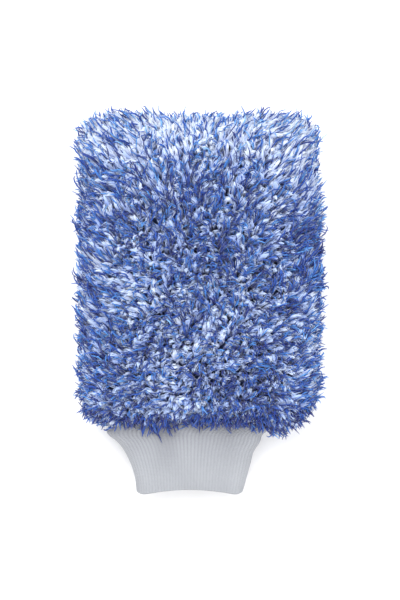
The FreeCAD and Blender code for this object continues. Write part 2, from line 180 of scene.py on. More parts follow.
def grid_faces(rows: int, columns: int, closed_rows: bool, closed_columns: bool) -> Array:
    """Join a grid of vertices with quads.

    Args:
        rows: How many rows of vertices there are.
        columns: How many vertices each row has.
        closed_rows: Whether the last row joins the first.
        closed_columns: Whether the end of each row joins its start.

    Returns:
        The four vertices of each quad, one quad per row.
    """
    down = np.arange(rows if closed_rows else rows - 1)
    along = np.arange(columns if closed_columns else columns - 1)
    row, column = np.meshgrid(down, along, indexing="ij")
    after, beside = (row + 1) % rows, (column + 1) % columns
    corners = [row * columns + column, row * columns + beside,
               after * columns + beside, after * columns + column]
    return np.stack(corners, axis=-1).reshape(-1, 4)


# ------------------------------------------------------------------ finishes

class NodeSheet:
    """A material's node tree with short ways to add and join nodes."""

    def __init__(self, name: str, roughness: float, sheen: float) -> None:
        """Start a material with an empty cloth shader.

        Args:
            name: The material's name.
            roughness: The shader's roughness.
            sheen: The weight of the soft light that fibres catch at their edges.
        """
        self.material = bpy.data.materials.new(name)
        self.material.use_nodes = True
        self.tree = self.material.node_tree
        self.tree.nodes.clear()
        self.shader = self.add("ShaderNodeBsdfPrincipled")
        self.shader.inputs["Roughness"].default_value = roughness
        self.shader.inputs["Specular IOR Level"].default_value = 0.25
        self.shader.inputs["Sheen Weight"].default_value = sheen
        self.shader.inputs["Sheen Roughness"].default_value = 0.5
        output = self.add("ShaderNodeOutputMaterial")
        self.join(self.shader.outputs["BSDF"], output.inputs["Surface"])

    def add(self, kind: str, **settings: object) -> bpy.types.Node:
        """Add a node.

        Args:
            kind: Blender's name for the node's type.
            settings: The node's properties and their values.

        Returns:
            The node.
        """
        node = self.tree.nodes.new(kind)
        for key, value in settings.items():
            setattr(node, key, value)
        return node

    def join(self, source: bpy.types.NodeSocket, target: bpy.types.NodeSocket) -> None:
        """Link an output to an input."""
        self.tree.links.new(source, target)

    def attribute(self, name: str, output: str = "Fac") -> bpy.types.NodeSocket:
        """Read a value that the mesh carries at its vertices."""
        return self.add("ShaderNodeAttribute", attribute_name=name).outputs[output]

    def maths(self, operation: str, *values: bpy.types.NodeSocket | float) -> bpy.types.NodeSocket:
        """Add a sum, product or other operation.

        Args:
            operation: Blender's name for the operation.
            values: The sockets and numbers that it works on.

        Returns:
            The result's socket.
        """
        node = self.add("ShaderNodeMath", operation=operation)
        for socket, value in zip(node.inputs, values):
            if isinstance(value, bpy.types.NodeSocket):
                self.join(value, socket)
            else:
                socket.default_value = value
        return node.outputs[0]

    def noise(self, scale: float, detail: float = 2.0) -> bpy.types.NodeSocket:
        """Add noise over the piece's own coordinates.

        Args:
            scale: How many swells there are in a metre.
            detail: How many finer layers there are on them.

        Returns:
            The noise's socket.
        """
        node = self.add("ShaderNodeTexNoise")
        node.inputs["Scale"].default_value = scale
        node.inputs["Detail"].default_value = detail
        self.join(self.add("ShaderNodeTexCoord").outputs["Object"], node.inputs["Vector"])
        return node.outputs["Fac"]

    def ramp(self, value: bpy.types.NodeSocket, shades: tuple[Shade, ...]) -> bpy.types.NodeSocket:
        """Turn a number into a colour.

        Args:
            value: The number.
            shades: Positions and colours, lowest first.

        Returns:
            The colour's socket.
        """
        node = self.add("ShaderNodeValToRGB")
        elements = node.color_ramp.elements
        while len(elements) < len(shades):
            elements.new(0.5)
        for element, (position, hex_code) in zip(elements, shades):
            element.position = position
            element.color = linear_colour(hex_code)
        self.join(value, node.inputs["Fac"])
        return node.outputs["Color"]

    def product(self, first: bpy.types.NodeSocket, second: bpy.types.NodeSocket,
                share: float) -> bpy.types.NodeSocket:
        """Multiply two colours.

        Args:
            first: One colour.
            second: The colour that darkens it.
            share: How much of the darkening is used.

        Returns:
            The result's socket.
        """
        node = self.add("ShaderNodeMix", data_type="RGBA", blend_type="MULTIPLY")
        node.inputs["Factor"].default_value = share
        self.join(first, node.inputs["A"])
        self.join(second, node.inputs["B"])
        return node.outputs["Result"]

    def colour(self, value: bpy.types.NodeSocket) -> None:
        """Use a colour as the cloth's own."""
        self.join(value, self.shader.inputs["Base Color"])

    def bump(self, height: bpy.types.NodeSocket, strength: float, distance: float) -> None:
        """Raise the surface where a number is high.

        Args:
            height: The number, from 0 to 1.
            strength: How much of the bump is used.
            distance: The height in metres where the number is 1.
        """
        node = self.add("ShaderNodeBump")
        node.inputs["Strength"].default_value = strength
        node.inputs["Distance"].default_value = distance
        self.join(height, node.inputs["Height"])
        self.join(node.outputs["Normal"], self.shader.inputs["Normal"])


@dataclass(frozen=True)
class StrandFinish:
    """Pile yarn: a run of shades, with painted shade that darkens it towards the root, and a little
    mottling.
    """

    name: str
    shades: tuple[Shade, ...]
    # The root colour is painted shade: the dark deep in the pile where each strand leaves the cloth.
    root: str
    roughness: float = 0.62
    sheen: float = 0.25
    fluff: float = 0.08 * MM

    def material(self) -> bpy.types.Material:
        """Build the yarn's material.

        Returns:
            The material.
        """
        sheet = NodeSheet(self.name, self.roughness, self.sheen)
        grain = sheet.noise(900.0)
        sheet.bump(grain, 0.6, self.fluff)
        mottle = sheet.maths("MULTIPLY", grain, 0.3)
        tone = sheet.maths("ADD", sheet.attribute("tone"), mottle)
        shade = sheet.ramp(sheet.maths("SUBTRACT", tone, 0.15), self.shades)
        # Painted shade: the strand goes from the root colour up to its full colour most of the way up.
        depth = sheet.ramp(sheet.attribute("along"), ((0.2, self.root), (0.85, "FFFFFF")))
        sheet.colour(sheet.product(shade, depth, 1.0))
        return sheet.material


@dataclass(frozen=True)
class RibKnitFinish:
    """White rib knit: columns of small V stitches, with painted shade: greyer in the valleys, near the
    pile and at the fold.
    """

    name: str = "rib_knit"
    # The crest colour is the knit where light falls fully. The valley and fold colours are painted shade:
    # the valley colour for the rib valleys and the pile's shadow near the sewn end, the fold colour for
    # the hem's fold.
    crest: str = "ACAFB5"
    valley_shade: str = "93959C"
    fold: str = "5E606A"

    def material(self) -> bpy.types.Material:
        """Build the knit's material.

        Returns:
            The material.
        """
        sheet = NodeSheet(self.name, 0.85, 0.2)
        parts = sheet.add("ShaderNodeSeparateXYZ")
        sheet.join(sheet.attribute("knit", "Vector"), parts.inputs["Vector"])
        around, down = parts.outputs["X"], parts.outputs["Y"]
        slant = sheet.maths("ABSOLUTE", sheet.maths("SINE", sheet.maths("MULTIPLY", around, math.pi)))
        row = sheet.maths("ADD", down, sheet.maths("MULTIPLY", slant, 0.45))
        stitch = sheet.maths("SINE", sheet.maths("MULTIPLY", row, 2.0 * math.pi))
        stitch = sheet.maths("MULTIPLY_ADD", stitch, 0.5, 0.5)
        fuzz = sheet.noise(2600.0, 3.0)
        height = sheet.maths("ADD", stitch, sheet.maths("MULTIPLY", fuzz, 0.6))
        sheet.bump(height, 0.8, 0.45 * MM)
        # Painted shade on the stitches, lighter on each stitch's top, added to the painted shade that the
        # 'crest' attribute carries.
        crest = sheet.maths("MULTIPLY_ADD", stitch, 0.14, sheet.attribute("crest"))
        tint = sheet.maths("MULTIPLY_ADD", sheet.noise(60.0), 0.2, -0.17)
        sheet.colour(sheet.ramp(sheet.maths("ADD", crest, tint),
                                ((0.0, self.fold), (0.35, self.valley_shade), (1.0, self.crest))))
        return sheet.material


@dataclass(frozen=True)
class ClothFinish:
    """Fine plain cloth: crossed yarns, with the colour a little uneven."""

    name: str
    light: str
    dark: str
    yarn: float = 0.9 * MM

    def material(self) -> bpy.types.Material:
        """Build the cloth's material.

        Returns:
            The material.
        """
        sheet = NodeSheet(self.name, 0.9, 0.2)
        parts = sheet.add("ShaderNodeSeparateXYZ")
        sheet.join(sheet.add("ShaderNodeTexCoord").outputs["Object"], parts.inputs["Vector"])
        turns = 2.0 * math.pi / self.yarn
        warp = sheet.maths("SINE", sheet.maths("MULTIPLY", parts.outputs["X"], turns))
        weft = sheet.maths("SINE", sheet.maths("MULTIPLY", parts.outputs["Y"], turns))
        weave = sheet.maths("MULTIPLY_ADD", sheet.maths("MULTIPLY", warp, weft), 0.5, 0.5)
        sheet.bump(weave, 0.5, 0.25 * MM)
        patchy = sheet.maths("MULTIPLY", sheet.noise(120.0), 0.7)
        value = sheet.maths("MULTIPLY_ADD", weave, 0.3, patchy)
        sheet.colour(sheet.ramp(value, ((0.1, self.dark), (0.9, self.light))))
        return sheet.material


@dataclass(frozen=True)
class ThreadFinish:
    """Spun sewing thread or covered elastic, with a fine twist."""

    name: str
    light: str
    dark: str
    twist: float = 1.1 * MM

    def material(self) -> bpy.types.Material:
        """Build the thread's material.

        Returns:
            The material.
        """
        sheet = NodeSheet(self.name, 0.7, 0.15)
        wave = sheet.add("ShaderNodeTexWave", bands_direction="DIAGONAL")
        wave.inputs["Scale"].default_value = 1.0 / (self.twist * 6.0)
        wave.inputs["Distortion"].default_value = 1.5
        sheet.join(sheet.add("ShaderNodeTexCoord").outputs["Object"], wave.inputs["Vector"])
        sheet.bump(wave.outputs["Fac"], 0.4, 0.1 * MM)
        sheet.colour(sheet.ramp(wave.outputs["Fac"], ((0.0, self.dark), (1.0, self.light))))
        return sheet.material


@dataclass(frozen=True)
class FloorFinish:
    """A plain pale studio floor."""

    name: str = "studio_floor"
    shade: str = "FBFBFC"

    def material(self) -> bpy.types.Material:
        """Build the floor's material.

        Returns:
            The material.
        """
        sheet = NodeSheet(self.name, 0.9, 0.0)
        sheet.shader.inputs["Base Color"].default_value = linear_colour(self.shade)
        return sheet.material


# ------------------------------------------------------------------ the shapes that pieces follow

@dataclass(frozen=True)
class PadShape:
    """Half of a pillow: a rectangle with round corners whose outer edge is rolled over."""

    half_width: float
    wrist: float
    finger: float
    wrist_corner: float
    finger_corner: float
    edge_round: float
    seam_level: float
    height: float

    @classmethod
    def from_node(cls, node: str, wrist_corner: float, finger_corner: float,
                  edge_round: float) -> "PadShape":
        """Read the size of half a pillow from its CAD node.

        Args:
            node: The node's name. One that starts with back lies under the seam.
            wrist_corner: Radius of the two corners at the wrist.
            finger_corner: Radius of the two corners at the fingertips.
            edge_round: Radius of the rolled edge.

        Returns:
            The shape, with a height under zero for a back node.
        """
        low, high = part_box(node)
        under = node.startswith("back")
        height = low.z - high.z if under else high.z - low.z
        return cls(high.x, low.y, high.y, wrist_corner, finger_corner, edge_round,
                   high.z if under else low.z, height)

    @property
    def side(self) -> float:
        """One for a front shape and minus one for a back shape."""
        return math.copysign(1.0, self.height)

    @property
    def wall(self) -> float:
        """Height of the upright part of the edge, under its round part."""
        return abs(self.height) - self.edge_round

    def outline(self, place: Array) -> tuple[Array, Array]:
        """Points on the outline and their outward normals.

        Args:
            place: Numbers from 0 to 8: even runs are the straight sides, from the wrist
                anticlockwise, and odd runs are the corners after them.

        Returns:
            Points and normals, two columns each.
        """
        radius = np.array([self.wrist_corner, self.finger_corner] * 2)[[0, 1, 3, 2]]
        inner = self.half_width - radius
        centre = np.stack([inner * np.array([1, 1, -1, -1]),
                           np.array([self.wrist, self.finger, self.finger, self.wrist])
                           + radius * np.array([1, -1, -1, 1])], axis=1)
        run = np.floor(place).astype(int) % OUTLINE_RUNS
        share = place - np.floor(place)
        ahead, behind = (run // 2) % 4, (run // 2 - 1) % 4
        angle = (ahead - 1) * math.pi / 2 + np.where(run % 2 == 1, share * math.pi / 2, 0.0)
        normal = np.stack([np.cos(angle), np.sin(angle)], axis=1)
        corner = centre[ahead] + normal * radius[ahead][:, None]
        start = centre[behind] + normal * radius[behind][:, None]
        straight = mix(start, corner, share)
        return np.where((run % 2 == 1)[:, None], corner, straight), normal

    def places(self, count: int, inset: float, shift: Array | float = 0.0) -> Array:
        """Places spaced evenly round the outline once it is drawn in by inset.

        Args:
            count: How many places.
            inset: How far the outline is drawn in.
            shift: How far each place is moved along, as a share of their spacing.

        Returns:
            The places, from 0 to 8.
        """
        fine = np.linspace(0.0, OUTLINE_RUNS, 1601)
        points, normal = self.outline(fine)
        travelled = distance_along(points - normal * inset)
        along = np.mod((np.arange(count) + shift) / count, 1.0)
        return np.interp(along * travelled[-1], travelled, fine)

    def round_length(self, inset: float) -> float:
        """Length of the outline once it is drawn in by inset."""
        points, normal = self.outline(np.linspace(0.0, OUTLINE_RUNS, 801))
        return float(distance_along(points - normal * inset)[-1])

    def edge(self, place: Array, turn: Array) -> tuple[Array, Array]:
        """Points on the rolled edge.

        Args:
            place: Places round the outline.
            turn: Angle of the normal above the seam's plane, in radians. Under zero it
                is a share of the upright wall below the round part.

        Returns:
            Points and outward normals.
        """
        flat, normal = self.outline(place)
        angle = np.maximum(turn, 0.0)
        rise = self.wall * (1.0 + np.minimum(turn, 0.0)) + self.edge_round * np.sin(angle)
        flat = flat - normal * (self.edge_round * (1.0 - np.cos(angle)))[:, None]
        points = np.column_stack([flat, self.seam_level + self.side * rise])
        outward = np.column_stack([normal * np.cos(angle)[:, None], self.side * np.sin(angle)])
        return points, outward

    def crown(self, across: Array, along: Array) -> tuple[Array, Array]:
        """Points on the flat crown.

        Args:
            across: Places across it, from -1 to 1.
            along: Places along it, from -1 to 1.

        Returns:
            Points and outward normals.
        """
        middle, reach = (self.wrist + self.finger) / 2, (self.finger - self.wrist) / 2
        points = np.column_stack([across * (self.half_width - self.edge_round),
                                  middle + along * (reach - self.edge_round),
                                  np.full(len(across), self.seam_level + self.height)])
        outward = np.tile([0.0, 0.0, self.side], (len(across), 1))
        return points, outward


@dataclass(frozen=True)
class CuffShape:
    """The flattened tube of the rib cuff, by stations from its sewn end to its hem.

    The tables give, at each share of the way to the hem and in mm: how far the side edges
    and the middle are off to one side, how far the tube rises, and its half width and height.
    """

    start: float
    hem: float
    level: float
    shares: tuple[float, ...] = (0.0, 0.17, 0.28, 0.37, 0.49, 0.615, 0.77, 1.0)
    sideways: tuple[float, ...] = (0.0, -3.5, -11.0, -8.6, -8.0, -7.2, -7.0, -7.8)
    middle: tuple[float, ...] = (0.0, -4.0, -8.0, -8.0, -8.0, -8.0, -8.0, -8.0)
    rise: tuple[float, ...] = (0.0, 0.0, -0.3, -0.6, -1.4, -2.4, -3.8, -6.0)
    half_width: tuple[float, ...] = (63.0, 64.5, 58.5, 53.6, 48.4, 45.4, 42.4, 39.9)
    half_height: tuple[float, ...] = (9.0, 9.0, 9.3, 9.5, 10.0, 10.4, 10.9, 11.5)
    hem_arch: float = 5.0 * MM
    hem_corner: float = 2.2 * MM
    corner_from: float = 0.82

    @classmethod
    def from_nodes(cls) -> "CuffShape":
        """Read where the cuff starts and ends from its two CAD nodes.

        Returns:
            The shape.
        """
        band_low, band_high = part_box("cuff_seam_band")
        sleeve_low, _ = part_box("cuff_sleeve")
        return cls(band_high.y, sleeve_low.y, (band_low.z + band_high.z) / 2)

    def travel(self, y: Array) -> Array:
        """Share of the way from the sewn end to the hem."""
        return (self.start - y) / (self.start - self.hem)

    def read(self, table: tuple[float, ...], y: Array) -> Array:
        """Read one of the tables at places along the cuff, in metres."""
        return smooth_table(self.travel(y), self.shares, table) * MM

    def at(self, y: Array) -> tuple[Array, Array, Array, Array]:
        """Centre and size of the outer surface at places along the cuff.

        Args:
            y: Places along the cuff.

        Returns:
            Sideways centre, level of the centre, half width and half height.
        """
        return (self.read(self.sideways, y), self.level + self.read(self.rise, y),
                self.read(self.half_width, y), self.read(self.half_height, y))

    def ring(self, turn: Array, y: Array, inset: Array) -> tuple[Array, Array]:
        """Points on the tube and their outward normals.

        Args:
            turn: Shares of the way round, from the middle of the underside.
            y: Places along the cuff.
            inset: Depth under the outer surface.

        Returns:
            Points and normals.
        """
        sideways, level, wide, tall = self.at(y)
        radius, run = tall - inset, wide - tall
        total = 4.0 * run + 2.0 * math.pi * radius
        travelled = np.mod(turn, 1.0) * total - run
        bend = math.pi * radius
        first = np.clip(travelled, 0.0, bend) / radius
        second = np.clip(travelled - bend - 2.0 * run, 0.0, bend) / radius
        angle = -math.pi / 2 + first + second
        over = np.clip(travelled - bend, 0.0, 2.0 * run)
        below = np.minimum(travelled, 0.0) + np.maximum(travelled - 2 * bend - 2 * run, 0.0)
        x = run - over + below
        normal = np.stack([np.cos(angle), np.zeros_like(angle), np.sin(angle)], axis=-1)
        points = np.stack([x, y, level], axis=-1) + normal * radius[..., None]
        middle = self.read(self.middle, y)
        points[..., 0] += middle + (sideways - middle) * (points[..., 0] / wide) ** 2
        return points, normal

    def arch(self, points: Array) -> Array:
        """Pull the hem up in the middle and round its corners off.

        Args:
            points: Points on the tube.

        Returns:
            The moved points.
        """
        sideways, _, wide, _ = self.at(points[..., 1])
        across = np.abs(points[..., 0] - sideways) / wide
        travel = np.clip(self.travel(points[..., 1]), 0.0, 1.0)
        corner = np.clip((across - self.corner_from) / (1.0 - self.corner_from), 0.0, 1.0) ** 2
        arched = points.copy()
        arched[..., 1] += (self.hem_arch * np.clip(1.0 - across ** 2, 0.0, 1.0) * travel ** 4
                           + self.hem_corner * corner * travel ** 10)
        return arched

    def keep_off(self, points: Array, gap: Array) -> Array:
        """Move points that are in the cuff, or too near, to above or under it.

        Args:
            points: Points down each strand.
            gap: The least distance from the cuff.

        Returns:
            The moved points.
        """
        sideways, level, wide, tall = self.at(points[..., 1])
        off = np.abs(points[..., 0] - sideways)
        reach = wide - tall
        radius = tall + gap
        past = np.clip((off - reach) / radius, 0.0, 1.0)
        height = radius * np.sqrt(1.0 - past ** 2)
        above = points[..., 2] >= level
        near = (off < wide + gap) & (points[..., 1] < self.start) & (points[..., 1] > self.hem)
        lifted = points.copy()
        up, down = level + height, level - height
        lifted[..., 2] = np.where(near & above, np.maximum(points[..., 2], up), lifted[..., 2])
        lifted[..., 2] = np.where(near & ~above, np.minimum(points[..., 2], down), lifted[..., 2])
        return lifted


def smooth_table(at: Array, places: tuple[float, ...], values: tuple[float, ...]) -> Array:
    """Read a table at any place with a curve that has no corners.

    Args:
        at: Where to read it.
        places: The table's places, rising.
        values: The values there.

    Returns:
        The values between them.
    """
    x, y = np.array(places), np.array(values)
    slope = np.gradient(y, x)
    i = np.clip(np.searchsorted(x, at) - 1, 0, len(x) - 2)
    width = x[i + 1] - x[i]
    t = np.clip((at - x[i]) / width, 0.0, 1.0)
    h00, h10 = 2 * t ** 3 - 3 * t ** 2 + 1, t ** 3 - 2 * t ** 2 + t
    return (h00 * y[i] + h10 * width * slope[i] + (1 - h00) * y[i + 1]
            + (t ** 3 - t ** 2) * width * slope[i + 1])


# ------------------------------------------------------------------ the pile

class Yarn(Enum):
    """The three kinds of strand in the pile."""

    BLUE = "blue"
    CORE = "core"
    FIBRE = "fibre"


@dataclass(frozen=True)
class YarnCut:
    """How one kind of strand is meshed.

    Attributes:
        radius: Its radius where it is widest.
        sides: How many sides its section has.
        shares: Where its rings are, from the root at 0 to the tip at 1.
        turns: How many turns it is twisted by.
        crimp: How far it waves to each side.
        ragged: How uneven its section is, as a share of the radius.
        blunt: Where it starts to narrow towards the tip.
    """

    radius: float
    sides: int
    shares: tuple[float, ...]
    turns: float
    crimp: float
    ragged: float
    blunt: float

    @property
    def profile(self) -> Array:
        """Width at each ring.

        Returns:
            Shares of the full width.
        """
        share = np.array(self.shares)
        tip = np.clip((share - self.blunt) / (1.0 - self.blunt), 0.0, 1.0)
        return (0.6 + 0.4 * np.clip(share / 0.5, 0.0, 1.0)) * np.sqrt(1.0 - tip ** 2)


CUTS = {
    Yarn.BLUE: YarnCut(0.58 * MM, 3, (0.0, 0.25, 0.45, 0.6, 0.73, 0.85, 0.96, 1.0), 0.8,
                       0.45 * MM, 0.1, 0.72),
    Yarn.CORE: YarnCut(1.35 * MM, 7, (0.0, 0.3, 0.5, 0.66, 0.79, 0.89, 0.96, 1.0), 0.2,
                       0.5 * MM, 0.2, 0.62),
    Yarn.FIBRE: YarnCut(0.52 * MM, 3, (0.0, 0.4, 0.65, 0.85, 1.0), 0.3, 0.7 * MM, 0.1, 0.4),
}


@dataclass
class Tufts:
    """Bunches of strands: where each starts, where it comes out and which way it leans."""

    root: Array
    root_normal: Array
    crest: Array
    normal: Array
    lean: Array
    share_along: Array
    blue: Array
    tone: Array

    def pick(self, chosen: Array) -> "Tufts":
        """Only the chosen tufts."""
        return Tufts(*(getattr(self, name)[chosen] for name in self.__dataclass_fields__))


@dataclass
class StrandBatch:
    """Many strands of one kind that become one mesh."""

    knots: Array
    radius: Array
    tone: Array
    cut: YarnCut

    def centre_lines(self, random: np.random.Generator) -> tuple[Array, Array, Array]:
        """Points down each strand, with two directions across it.

        Args:
            random: The source of the crimp's phases.

        Returns:
            Points, and two unit directions at each of them.
        """
        share = np.array(self.cut.shares)
        back = 1.0 - share
        weights = np.stack([back ** 3, 3 * back ** 2 * share, 3 * back * share ** 2, share ** 3])
        slopes = np.stack([-3 * back ** 2, 3 * back ** 2 - 6 * back * share,
                           6 * back * share - 3 * share ** 2, 3 * share ** 2])
        points = np.einsum("kr,nkd->nrd", weights, self.knots)
        forward = unit(np.einsum("kr,nkd->nrd", slopes, self.knots))
        count = len(self.knots)
        aside = unit(random.normal(size=(count, 1, 3)))
        first = unit(np.cross(forward, aside))
        second = np.cross(forward, first)
        phase = random.uniform(0, 2 * math.pi, (count, 2, 1))
        wave = random.uniform(1.2, 2.4, (count, 2, 1)) * 2 * math.pi
        sway = np.sin(share * wave + phase) * self.cut.crimp * np.sqrt(share)
        points = points + first * sway[:, 0, :, None] + second * sway[:, 1, :, None]
        return points, first, second

    def build(self, name: str, material: bpy.types.Material, guide: "PileGuide",
              random: np.random.Generator) -> bpy.types.Object:
        """Make the strands' mesh.

        Args:
            name: The piece's name.
            material: The yarn's material.
            guide: What keeps the strands off the floor and the cuff.
            random: The source of the crimp's phases.

        Returns:
            The new piece.
        """
        points, first, second = self.centre_lines(random)
        points = guide.settle(points, self.radius, random)
        count, rings, sides = len(points), len(self.cut.shares), self.cut.sides
        share = np.array(self.cut.shares)
        angle = (np.arange(sides)[None, :] / sides + share[:, None] * self.cut.turns) * 2 * math.pi
        width = self.radius[:, None, None] * self.cut.profile[None, :, None]
        width = width * random.uniform(1.0 - self.cut.ragged, 1.0 + self.cut.ragged,
                                       (count, rings, sides))
        around = (first[:, :, None] * (np.cos(angle) * width)[..., None]
                  + second[:, :, None] * (np.sin(angle) * width)[..., None])
        body = (points[:, :, None] + around)[:, :-1].reshape(count, -1, 3)
        vertices = np.concatenate([body, points[:, -1:]], axis=1)
        per = vertices.shape[1]
        quads = grid_faces(rings - 1, sides, False, True)
        last = (rings - 2) * sides
        tip = np.array([[last + side, last + (side + 1) % sides, per - 1] for side in range(sides)])
        one = np.concatenate([quads.ravel(), tip.ravel(), np.arange(sides)[::-1]])
        sizes = np.concatenate([np.full(len(quads), 4), np.full(sides, 3), [sides]])
        faces = (one[None, :] + (np.arange(count) * per)[:, None]).ravel()
        along = np.append(np.repeat(share[:-1], sides), 1.0)
        values = {"tone": np.repeat(self.tone, per), "along": np.tile(along, count)}
        return new_piece(name, material, vertices.reshape(-1, 3), faces,
                         np.tile(sizes, count), values)


@dataclass(frozen=True)
class PileGuide:
    """Keeps strands above the floor, off the cuff and out of its passage."""

    cuff: CuffShape
    floor_gap: float = 0.3 * MM
    floor_spread: float = 1.4 * MM
    cuff_gap: float = 0.4 * MM

    def settle(self, points: Array, radius: Array, random: np.random.Generator) -> Array:
        """Move the points that are too low or in the cuff.

        Args:
            points: Points down each strand.
            radius: The radius of each strand.
            random: The source of the strands' resting heights.

        Returns:
            The moved points.
        """
        spread = random.uniform(0, self.floor_spread, (len(points), 1))
        settled = self.cuff.keep_off(points, self.cuff_gap + radius[:, None])
        low = self.floor_gap + radius[:, None] + spread
        settled[..., 2] = np.maximum(settled[..., 2], low)
        return settled


@dataclass(frozen=True)
class BluePatch:
    """A patch where the pile is bluer, or whiter, than elsewhere, by shares from -1 to 1."""

    across: float
    along: float
    size: float
    amount: float


@dataclass(frozen=True)
class RimSwell:
    """A place on the rim, in mm, where the pile stands further out, or is tucked in."""

    x: float
    y: float
    size: float
    amount: float


@dataclass
class Pile:
    """The strands of the front and the back, rooted in the base cloth.

    Attributes:
        front: Outer shape of the front pile.
        back: Outer shape of the back pile.
        front_cloth: The cloth that the front pile is rooted in.
        back_cloth: The cloth that the back pile is rooted in.
        cuff: The cuff that comes out of the pile at the wrist.
        pitch: Distance between the front's tufts.
        back_pitch: Distance between the back's tufts.
        inset: How far the tufts' crests stay under the outer shape.
        edge_inset: How much further they stay under it at the edge.
        dome: How much lower the crown is at its border than in its middle.
        blue_share: Share of blue tufts.
        row_count: How many pieces the crown is split into, from wrist to fingertips.
        fibres_per_tuft: Loose fibres round each white tuft.
        swirls: Wavelength, seed and strength of the two patterns that the strands lean in.
        outward: How strongly the strands near the rim lean over it.
        restless: How much single tufts lean their own way.
        droop: How much the strands at the edge hang down.
        loft_wave: Typical size of the pile's higher and lower places.
        loft_swell: How far those places are up or down.
        loft_random: How much single tufts are up or down.
        white_reach: Least and greatest length of a white tuft past its crest, in mm.
        blue_reach: The same for a blue strand.
        bundles_per_tuft: Bundles of blue strands that each tuft has.
        bundle_spread: How far the bundles are from their tufts.
        many: Least and greatest number of blue strands in a bundle of a blue tuft.
        few: The same for a white tuft.
        stray_place: Where across the cuff the longest loose strands hang.
        stray_width: How wide that place is.
        stray_length: How long those strands are.
        patches: Where the pile is bluer or whiter.
        swells: Where the rim stands out or is tucked in.
        light_band: Where the whiter pile of the fingertips starts, from -1 to 1.
        light_blend: How far past that it is fully white.
    """

    front: PadShape
    back: PadShape
    front_cloth: PadShape
    back_cloth: PadShape
    cuff: CuffShape
    pitch: float = 4.3 * MM
    back_pitch: float = 6.0 * MM
    inset: float = 2.6 * MM
    edge_inset: float = 3.4 * MM
    dome: float = 8.0 * MM
    blue_share: float = 0.50
    row_count: int = 3
    fibres_per_tuft: int = 10
    swirls: tuple[tuple[float, int, float], ...] = ((60 * MM, 11, 0.8), (18 * MM, 12, 1.2))
    outward: float = 2.1
    restless: float = 0.7
    droop: float = 0.28
    loft_wave: float = 26.0 * MM
    loft_swell: float = 1.8 * MM
    loft_random: float = 1.1 * MM
    white_reach: tuple[float, float] = (8.0, 12.5)
    blue_reach: tuple[float, float] = (8.0, 15.0)
    bundles_per_tuft: int = 2
    bundle_spread: float = 2.2 * MM
    many: tuple[float, float] = (1.1, 3.0)
    few: tuple[float, float] = (0.1, 1.4)
    stray_place: float = -33.0 * MM
    stray_width: float = 14.0 * MM
    stray_length: float = 12.0 * MM
    patches: tuple[BluePatch, ...] = (
        BluePatch(-0.20, 0.38, 0.40, 0.26),
        BluePatch(0.10, 0.10, 0.34, 0.32),
        BluePatch(-0.50, -0.14, 0.22, -0.30),
        BluePatch(0.28, -0.84, 0.36, 0.84),
        BluePatch(-0.16, -0.76, 0.18, -0.50),
        BluePatch(0.80, 0.64, 0.27, -0.50),
        BluePatch(-0.42, 0.66, 0.22, -0.22),
        BluePatch(0.88, 0.12, 0.24, 0.55),
        BluePatch(-0.60, -0.46, 0.32, 0.30),
        BluePatch(0.48, -0.16, 0.24, 0.20),
        BluePatch(0.16, -0.42, 0.14, -0.26),
        BluePatch(-0.50, -0.88, 0.16, 0.24),
    )
    swells: tuple[RimSwell, ...] = (
        RimSwell(57.0, -93.0, 13.0, 7.0),
        RimSwell(96.0, -86.0, 16.0, -14.0),
        RimSwell(96.0, 108.0, 16.0, -6.0),
        RimSwell(-86.0, 126.0, 20.0, 3.0),
        RimSwell(-42.0, 145.0, 42.0, 2.6),
        RimSwell(48.0, 145.0, 34.0, 2.6),
    )
    light_band: float = 0.56
    light_blend: float = 0.3

    def __post_init__(self) -> None:
        """Make the yarns' materials."""
        # The last colour given to each yarn, 1E3A8C and 6C88D6, is its painted shade deep in the pile at
        # the roots.
        blue = StrandFinish("blue_yarn", ((0.0, "0A2276"), (0.45, "2654B2"), (0.8, "4A8EDC"),
                                          (1.0, "88BCF0")), "1E3A8C").material()
        white = StrandFinish("white_yarn", ((0.0, "9EB6EA"), (0.5, "B8CCF0"), (1.0, "DCE6F8")),
                             "6C88D6", 0.8, 0.5, 0.35 * MM).material()
        self.materials = {Yarn.BLUE: blue, Yarn.CORE: white, Yarn.FIBRE: white}
        self.guide = PileGuide(self.cuff)

    def crown_tufts(self, pad: PadShape, cloth: PadShape, pitch: float,
                    random: np.random.Generator) -> Tufts:
        """Place tufts over the flat crown, in a loose hexagonal grid.

        Args:
            pad: The pile's outer shape.
            cloth: The cloth that it is rooted in.
            pitch: Distance between tufts.
            random: The source of the unevenness.

        Returns:
            The tufts.
        """
        wide = (pad.half_width - pad.edge_round) * 2.0
        long = pad.finger - pad.wrist - 2.0 * pad.edge_round
        columns, rows = int(wide / pitch), int(long / (pitch * 0.866))
        row, column = np.meshgrid(np.arange(rows), np.arange(columns), indexing="ij")
        across = (column + 0.5 * (row % 2) + 0.25) / columns * 2.0 - 1.0
        along = (row + 0.5) / rows * 2.0 - 1.0
        loose = random.uniform(-0.4, 0.4, (2, across.size)) * 2.0
        across = np.clip(across.ravel() + loose[0] / columns, -1.0, 1.0)
        along = np.clip(along.ravel() + loose[1] / rows, -1.0, 1.0)
        return self.make_tufts(pad, pad.crown(across, along), cloth.crown(across, along), random)

